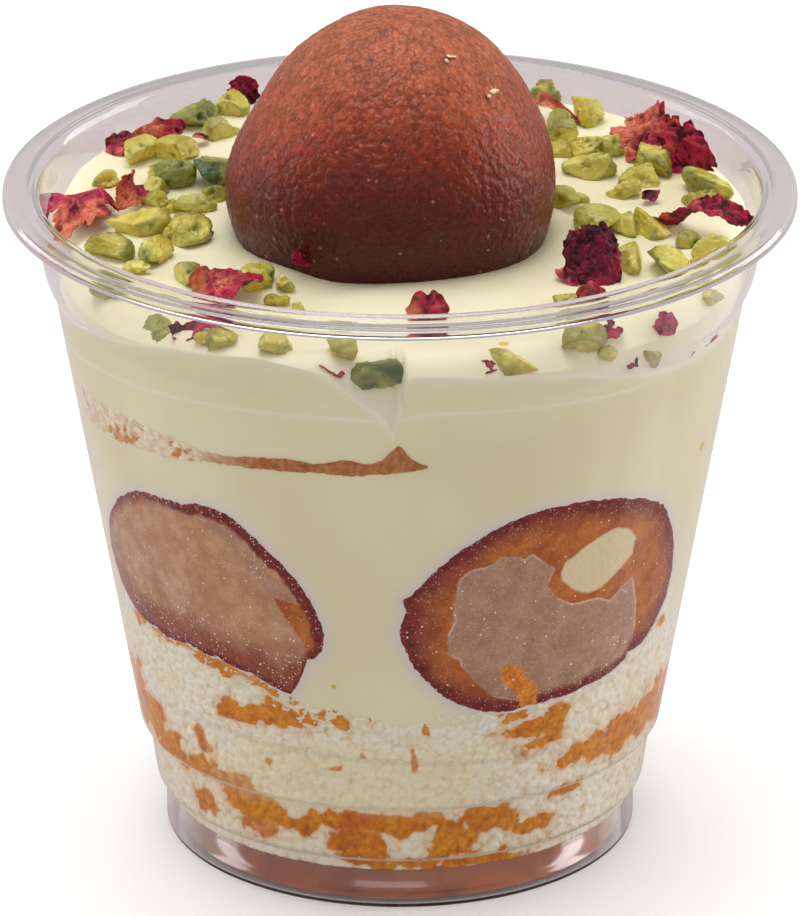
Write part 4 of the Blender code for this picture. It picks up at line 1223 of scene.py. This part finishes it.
def make_cream_top(material):
    """The upper cream: a side in the wall up to its edge, then the folded top in to the middle."""
    columns, side_rows, top_rows = 640, 50, 66
    azimuth = front_columns(columns, 0.6)[None]
    edge = ring_value(CREAM_EDGE, azimuth)
    low = ring_value(DISC_LOWER, azimuth)
    height = wall_rows(low - JOINT_RISE, edge, np.linspace(0, 1, side_rows)[:, None])
    around = azimuth + 0 * height
    flat = round_cup(around, wall_radius(height), height)
    crease_highlight = crease_highlight_at(np.stack([around, height], axis=-1))
    below = np.maximum(low + JOINT_RISE - height, 0)
    radius = wall_radius(height) + CREAM_IN_WALL + 0.03 * fractal(flat, 6.0, 2, 91) - JOINT_FALL * below ** 2
    # Painted highlight along the cream's top edge at the wall
    rim = np.exp(-np.clip(edge - height, 0, 9) / 0.45)
    inward = np.linspace(0, 1, top_rows + 1)[1:, None] ** 1.7
    top_radius = radius[-1:] * (1 - inward * 0.985)
    top = round_cup(azimuth, top_radius, 0 * top_radius)
    top[..., 2] = cream_surface(top[..., 0], top[..., 1])
    under = round_cup(azimuth, np.array([0.2, 0.6, 0.93])[:, None] * radius[:1], height[:1])
    grid = np.concatenate([under, round_cup(around, radius, height), top])
    line = np.zeros(grid.shape[:2])
    # Painted highlight lines: where the spoonfuls meet, and along the top edge
    line[len(under):len(under) + side_rows] = np.maximum(0.7 * crease_highlight, 0.6 * rim)
    add_surface("cream_top_look", grid, material, ["cream_top"], {"halo": 0 * line, "line": line})


# Whole gulab jamun

def ball_point(direction):
    """Points of the whole gulab jamun: a unit direction drawn out to the outline seen from the front."""
    tilt = math.radians(BALL_VIEW)
    up = np.array([0.0, math.sin(tilt), math.cos(tilt)])
    front = np.array([0.0, -math.cos(tilt), math.sin(tilt)])
    across = direction[..., 0]
    rise = direction @ up
    turn = np.arctan2(rise, across)
    outline = smooth_ring(BALL_OUTLINE, np.degrees(turn))
    toward = (direction @ front) * BALL_DEPTH
    out = np.array(BALL_CENTRE) + toward[..., None] * front + (outline * rise)[..., None] * up
    out[..., 0] += outline * across
    return out


def smooth_ring(values, turn):
    """A smooth closed curve through values at equal angles: each four neighbours give a cubic."""
    values = np.array(values)
    place = (turn % 360) / 360 * len(values)
    index = np.floor(place).astype(int)
    t = place - index
    a, b, c, d = (values[(index + step) % len(values)] for step in (-1, 0, 1, 2))
    return b + 0.5 * t * (c - a + t * (2 * a - 5 * b + 4 * c - d + t * (3 * (b - c) + d - a)))


def directions(longitude, latitude):
    """Unit vectors from longitudes, counted from the front, and latitudes, both in radians."""
    parts = (np.cos(latitude) * np.sin(longitude), -np.cos(latitude) * np.cos(longitude), np.sin(latitude))
    return np.stack(np.broadcast_arrays(*parts), axis=-1)


def make_ball(material):
    """The whole gulab jamun, with a soft uneven form, fine pebbles and short wrinkles."""
    longitude = np.radians(front_columns(430, 0.45))[None]
    latitude = np.concatenate([np.linspace(-0.495, -0.25, 12)[:-1], np.linspace(-0.25, 0.495, 204)])
    direction = directions(longitude, latitude[:, None] * math.pi)
    points = ball_point(direction)
    soft = 0.16 * fractal(points, 9.0, 2, 101)
    near, next_near, _ = grains(points + 0.3 * fractal(points, 1.3, 2, 102)[..., None], 0.75, 103)
    valley = 1 - step_between(0.0, 0.3, next_near - near)
    stretched = points * np.array([1.0, 1.0, 0.45])
    wrinkle = np.clip(1 - np.abs(fractal(stretched, 1.6, 3, 104)) * 3.2, 0, 1)
    relief = soft - 0.06 * valley - 0.055 * wrinkle + 0.04 * fractal(points, 0.6, 2, 105)
    points = points + direction * relief[..., None]
    # Lighter on top, darker low and in front: partly from frying, partly painted light and shade
    front = np.clip(-direction[..., 1] - 0.5 * np.abs(direction[..., 0] + 0.1), 0, 1)
    level = BALL_DEPTH * direction[..., 2] - 7.0 * front + 1.2 * fractal(points, 8.0, 3, 106)
    # Painted shade in the valleys and wrinkles
    marks = {"pit_shade": np.clip(0.35 * valley + 0.3 * wrinkle, 0, 0.6),
             "fry_and_painted_shading": np.clip((level + 6.0) / 22.0, 0, 1)}
    add_surface("jamun_whole_look", points, material, ["jamun_whole"], marks)


# Toppings

def turned(points, angle, axis):
    """Points turned about X or Z by an angle in degrees, one angle for each copy."""
    angle = np.radians(np.asarray(angle, float))[:, None]
    first, second = ((1, 2), (0, 1))[axis == "Z"]
    out = points.copy()
    out[..., first] = np.cos(angle) * points[..., first] - np.sin(angle) * points[..., second]
    out[..., second] = np.sin(angle) * points[..., first] + np.cos(angle) * points[..., second]
    return out


def make_pistachio(material):
    """Chopped pistachio: each is a ball trimmed by a few planes, its edges softened.

    Along a direction u the surface lies at the soft minimum of 1 and of each plane's distance
    divided by the plane's normal times u. Where a plane cut it, the flesh shows. The larger half
    of the pieces has a finer mesh.
    """
    chance = np.random.default_rng(SEED)
    rows = np.array(PISTACHIO)
    volume = rows[:, 2] * rows[:, 3] * rows[:, 4]
    places = on_cream(rows[:, :2], 0.32 * rows[:, 4], 0.55 * rows[:, 3])
    for name, chosen, level in (("pistachio_large", volume >= np.median(volume), 5),
                                ("pistachio_small", volume < np.median(volume), 4)):
        points, faces, values = chopped(rows[chosen], places[chosen], level, chance)
        add_piece(name, joined_mesh(name, points, faces, values), material, ["cream_top"])


def chopped(rows, places, level, chance):
    """Points, triangles and marks of some chopped pieces, two sides cut deep and others trimmed."""
    count = len(rows)
    corners, faces = ball_form(level)
    deep, light = 3, 6
    normals = chance.normal(size=(count, deep + light, 3))
    normals /= np.linalg.norm(normals, axis=2, keepdims=True)
    distance = np.concatenate([chance.uniform(0.3, 0.62, (count, deep)),
                               chance.uniform(0.66, 0.95, (count, light))], axis=1)
    facing = np.einsum("cpk,vk->cvp", normals, corners)
    cut = distance[:, None, :] / np.maximum(facing, 0.05)
    nearest = cut.min(axis=2)
    reach = (nearest ** -40 + 1.0) ** (-1 / 40)
    skin = step_between(0.97, 1.02, nearest)
    second = np.partition(cut, 1, axis=2)[..., 1]
    edge = 1 - step_between(0.0, 0.06, np.abs(nearest - np.minimum(second, 1.0)))
    form = corners[None] * reach[..., None]
    low = form.min(axis=1, keepdims=True)
    high = form.max(axis=1, keepdims=True)
    form = (form - 0.5 * (low + high)) / (high - low)
    sizes = rows[:, 2:5] * [1.05, 1.2, 1.3]
    points = form * sizes[:, None, :]
    apart = 9.0 * np.arange(count)[:, None, None]
    points = points * (1 + 0.14 * fractal(points + apart, 2.0, 3, 111))[..., None]
    crumbly = np.abs(fractal(points + 5.0 * apart, 0.9, 3, 112, 0.6))
    points = points + (0.1 - 0.42 * crumbly)[..., None] * corners[None]
    chips = np.clip(fractal(points + 3.0 * apart, 1.3, 3, 113) - 0.2, 0, 1)
    points = points - 1.3 * chips[..., None] * corners[None]
    points = turned(points, chance.uniform(-24, 24, count), "X")
    points = turned(points, rows[:, 5], "Z")
    points = kept_in(points + places[:, None, :])
    share = rows[:, 6:7]
    patch = step_between(-0.2, 0.3, fractal(points, 1.8, 2, 114))
    green = skin * (0.35 + 0.6 * share) + (1 - skin) * share * (0.15 + 0.6 * patch)
    # Chipped hollows are painted darker green, as painted shade
    green = green + chance.uniform(-0.15, 0.25, (count, 1)) + 1.2 * chips - 0.25 * crumbly
    green = np.clip(np.maximum(green, 0.85 * (share > 0.7) * (share + 0.3 * patch - 0.1)), 0, 1)
    return points, faces, {"green": green, "rim": 0.35 * edge * (1 - 0.5 * share)}


def kept_in(points):
    """Points drawn in where they would stand in the cup's wall."""
    radius = np.hypot(points[..., 0], points[..., 1])
    limit = wall_radius(points[..., 2]) - 0.05
    share = np.where(radius > limit, limit / np.maximum(radius, 1e-6), 1.0)
    out = points.copy()
    out[..., :2] *= share[..., None]
    return out


def petal_face(length, width, curl, columns, rows, seed):
    """A torn crumpled oval: half width falls as the root of 1 - 0.86 u^2, and folds add to its height.

    Each straight fold adds its height times the distance from its line, so that the sheet stays
    flat between folds. Rough noise tears the edge, a soft wave curls the whole, and ridged
    noise wrinkles it.
    """
    chance = np.random.default_rng(seed)
    u = np.linspace(-1, 1, columns)[None] + np.zeros((rows, 1))
    v = np.linspace(-1, 1, rows)[:, None] + np.zeros((1, columns))
    edge = np.stack([u * 0.5 * length, np.sign(v) * 3.0, 0 * u], axis=-1)
    torn = 0.24 * smooth_noise(edge, 2.6, seed) + 0.2 * smooth_noise(edge, 1.0, seed + 1)
    torn = torn + 0.16 * smooth_noise(edge, 0.5, seed + 5)
    taper = np.sqrt(np.clip(1 - 0.86 * u * u, 0, 1))
    tips = np.stack([v * 0.5 * width, 3.0 + 0 * v, 0 * v], axis=-1)
    ends = 1 + 0.16 * smooth_noise(tips, 1.4, seed + 2) + 0.08 * smooth_noise(tips, 0.55, seed + 6)
    x = 0.5 * length * u * ends
    y = 0.5 * width * v * taper * (1 + torn)
    crumple, valley, ridge = 0 * x, 0 * x, 0 * x
    for _ in range(14):
        angle = chance.normal(0.0, 0.9)
        height = chance.uniform(-0.36, 0.36)
        across = chance.uniform(-0.5, 0.5) * width
        along = chance.uniform(-0.5, 0.5) * length
        away = np.cos(angle) * (y - across) - np.sin(angle) * (x - along)
        crumple = crumple + height * np.sqrt(away ** 2 + 0.01)
        valley = valley + max(height, 0) * np.exp(-(away / 0.32) ** 2)
        ridge = ridge + max(-height, 0) * np.exp(-(away / 0.12) ** 2)
    bend = curl * (0.55 * v * v - 0.25) + 0.35 * curl * np.sin(2.6 * u + seed)
    flat = np.stack([x, y, 0 * x], axis=-1)
    wrinkle = np.abs(fractal(flat, 1.1, 3, seed + 4, 0.6))
    z = bend + crumple - 0.8 * wrinkle
    valley = valley + 0.9 * step_between(0.3, 0.5, wrinkle)
    return x, y, z, np.clip(1.6 * valley, 0, 0.85), np.clip(1.3 * ridge, 0, 0.5), u


def make_petal(row, columns, rows, seed):
    """Points and marks of one petal in its place."""
    px, py, lift, length, width, turn, lean, curl, salmon = row
    x, y, z, valley, ridge, u = petal_face(length, width, curl, columns, rows, seed)
    points = np.stack([x, y, z - z.mean()], axis=-1).reshape(1, -1, 3)
    points = turned(turned(points, [lean], "X"), [turn], "Z")[0]
    place = on_cream(np.array([[px, py]]), np.array([lift]), np.array([0.4 + 0.3 * width]))[0]
    points = kept_in(points + place).reshape(rows, columns, 3)
    reach = 1.5 * salmon - 1.0
    base = 1 - step_between(reach - 0.3, reach + 0.5, u + 0.7 * smooth_noise(points, 1.8, seed + 7))
    base = base * (salmon > 0)
    deep = 1 - step_between(-0.25, 0.25, salmon + 0.25 + 0.4 * fractal(points, 2.0, 2, seed + 8))
    # Painted shade along the folds' valleys, less at the salmon base
    fold = valley * (1 - 0.5 * base)
    return points, {"salmon": base, "fold": fold, "ridge": ridge * (salmon > 0), "deep": deep}


def thickened(item, sheet):
    """Give an open sheet its thickness."""
    solid = item.modifiers.new("sheet", "SOLIDIFY")
    solid.thickness = sheet * MM
    solid.offset = 0.0


def make_petals(material):
    """Large petals, each replacing its solid, and one joined piece of the small ones."""
    for index, (name, *row) in enumerate(LARGE_PETALS):
        points, values = make_petal(row, 130, 76, SEED + 31 * index)
        mesh = grid_mesh(name + "_look", points, wrap=False, values=values)
        thickened(add_piece(name + "_look", mesh, material, [name]), PETAL_SHEET)
    columns, rows = 42, 28
    small = []
    for index, row in enumerate(SMALL_PETALS):
        points, values = make_petal(row, columns, rows, SEED + 500 + 31 * index)
        if index == BALL_PETAL:
            points = points - points.reshape(-1, 3).mean(axis=0) + on_ball(row[0], row[1], 0.25)
        small.append((points, values))
    index = np.arange(columns * rows).reshape(rows, columns)
    faces = np.stack([index[:-1, :-1], index[:-1, 1:], index[1:, 1:], index[1:, :-1]], axis=-1).reshape(-1, 4)
    values = {key: np.array([marks[key] for _, marks in small]) for key in small[0][1]}
    points = np.array([points for points, _ in small]).reshape(len(small), -1, 3)
    mesh = joined_mesh("small_petals", points, faces, values)
    thickened(add_piece("small_petals", mesh, material, ["cream_top"]), PETAL_SHEET)


def make_crumbs(cream, sponge):
    """Flakes of cream on the whole gulab jamun, and soaked crumbs at the wall."""
    chance = np.random.default_rng(SEED + 9)
    rows = np.array(FLAKES)
    places = np.array([on_ball(row[0], row[1], 0.1) for row in rows])
    points, faces, _ = chopped(rows, places, 3, chance)
    add_piece("cream_flakes", joined_mesh("cream_flakes", points, faces), cream, ["jamun_whole"])
    rows = np.array(CRUMBS)
    wall = on_wall(rows[:, :2])
    places = round_cup(wall[:, 0], wall_radius(wall[:, 1]) + 0.02, wall[:, 1])
    points, faces, values = chopped(rows, places, 4, chance)
    radius = np.hypot(points[..., 0], points[..., 1])
    kept = np.minimum(radius, wall_radius(points[..., 2]) + 0.4)
    points[..., :2] *= (kept / radius)[..., None]
    # The sponge's painted shade, put along the crumbs' cut edges
    values = {"soaked": rows[:, 6:7] + 0 * values["green"], "pit_shade": 0.5 * values["rim"]}
    mesh = joined_mesh("crumbs", points, faces, values)
    add_piece("crumbs", mesh, sponge, ["sponge_disc"])


def on_ball(px, py, lift):
    """The place on the whole gulab jamun whose picture lies nearest to a pixel, lift above it."""
    longitude = np.radians(np.linspace(-110, 110, 400))[None]
    latitude = np.radians(np.linspace(-20, 88, 300))[:, None]
    direction = directions(longitude, latitude)
    points = ball_point(direction)
    start, rays = view_rays(np.array([[px, py]], float))
    ray = rays[0] / np.linalg.norm(rays[0])
    away = np.linalg.norm(np.cross(points - start, ray), axis=-1) + 9.0 * (direction @ ray > 0)
    index = np.unravel_index(np.argmin(away), away.shape)
    return points[index] + lift * direction[index]


# Foot of the cup

def syrup_material():
    """Syrup film in the foot: brown and glossy, browner in front and paler grey at the sides, as painted
    shade in front and painted sheen at the sides.
    """
    material, tree, shader = new_material("syrup_film", 0.2, Coat_Weight=1.0, Coat_IOR=1.7,
                                          Coat_Roughness=0.1)
    tone, _ = grain(tree, 120.0, 0.6)
    # Brown in front as painted shade, paler grey at the sides as painted sheen
    thick = mixed(tree, tone, srgb(140, 56, 6), srgb(198, 104, 34))
    thin = mixed(tree, tone, srgb(172, 132, 106), srgb(196, 166, 146))
    colour = mixed(tree, attribute(tree, "thick"), thin, thick)
    tree.links.new(colour, shader.inputs["Base Color"])
    return material


def make_syrup(material):
    """The film: a closed ring in the moat of the foot, its section a thin sheet up the moat's inner side."""
    columns = 360
    azimuth = np.arange(columns)[None] * 360.0 / columns - 180.0
    section = np.array([(24.85, 0.75), (25.9, 0.62), (25.9, 0.72), (25.1, 0.95), (24.5, 3.2), (24.3, 5.2),
                        (23.9, 5.2), (24.2, 3.2)])
    section = np.concatenate([section, section[:1]])
    grid = round_cup(azimuth, section[:, :1], section[:, 1:])
    # Brown towards the front, paler grey towards the sides: painted shade and painted sheen
    thick = step_between(0.1, 0.75, np.cos(np.radians(azimuth)) + 0.35 * fractal(grid, 7.0, 3, 121))
    mesh = grid_mesh("syrup_film", grid, values={"thick": thick})
    add_piece("syrup_film", face_outwards(mesh), material, ["sponge_lower"])


# Stage

def make_camera():
    """The camera at the picture's place."""
    camera = bpy.data.objects.new("camera", bpy.data.cameras.new("camera"))
    bpy.context.scene.collection.objects.link(camera)
    camera.location = (0.0, -CAMERA_BACK * MM, CAMERA_HEIGHT * MM)
    camera.rotation_euler = (math.radians(90 - CAMERA_DOWN), 0.0, 0.0)
    camera.data.sensor_width = SENSOR
    camera.data.lens = PIXEL_FOCUS / PICTURE[1] * SENSOR
    camera.data.clip_start = 0.05
    bpy.context.scene.camera = camera


def add_lamp(name, place, size, power):
    """A soft square lamp that looks at the cup."""
    data = bpy.data.lights.new(name, "AREA")
    data.shape = "RECTANGLE"
    data.size, data.size_y = size
    data.energy = power
    lamp = bpy.data.objects.new(name, data)
    bpy.context.scene.collection.objects.link(lamp)
    lamp.location = place
    way = np.array(LAMP_TARGET) - np.array(place)
    level = math.hypot(way[0], way[1])
    lamp.rotation_euler = (math.atan2(level, -way[2]), 0.0, math.atan2(-way[0], way[1]))


def make_stage():
    """Pale floor, even soft surroundings, a large lamp above, one in front and one at each side."""
    mesh = bpy.data.meshes.new("floor")
    mesh.from_pydata([(-3, -3, 0), (3, -3, 0), (3, 3, 0), (-3, 3, 0)], [], [(0, 1, 2, 3)])
    mesh.materials.append(floor_material())
    floor = bpy.data.objects.new("floor", mesh)
    bpy.context.scene.collection.objects.link(floor)
    world = bpy.data.worlds.new("surroundings")
    world.use_nodes = True
    backdrop = world.node_tree.nodes["Background"]
    seen = node(world.node_tree, "ShaderNodeLightPath").outputs["Is Camera Ray"]
    world.node_tree.links.new(mixed(world.node_tree, seen, SURROUNDINGS_IN_GLASS, SURROUNDINGS_SEEN),
                              backdrop.inputs["Color"])
    bpy.context.scene.world = world
    for lamp in LAMPS:
        add_lamp(*lamp)
    bpy.context.scene.view_settings.view_transform = "Standard"
    bpy.context.scene.view_settings.look = "None"


def main():
    make_camera()
    make_stage()
    make_cup(clear_plastic())
    sponge = sponge_material()
    make_sponge_side("sponge_lower_look", SPONGE_FLOOR, SPONGE_SEAM, 900, 76, 0.3, sponge, ["sponge_lower"])
    make_sponge_side("sponge_upper_look", SPONGE_SEAM, SPONGE_TOP, 1000, 84, 2.4, sponge, ["sponge_upper"])
    make_disc(sponge)
    make_syrup(syrup_material())
    cream = cream_material()
    make_cream_lower(cream)
    make_cream_top(cream)
    make_halves(jamun_cut_material())
    make_ball(jamun_skin_material())
    make_pistachio(pistachio_material())
    make_petals(petal_material())
    make_crumbs(cream, sponge)


main()
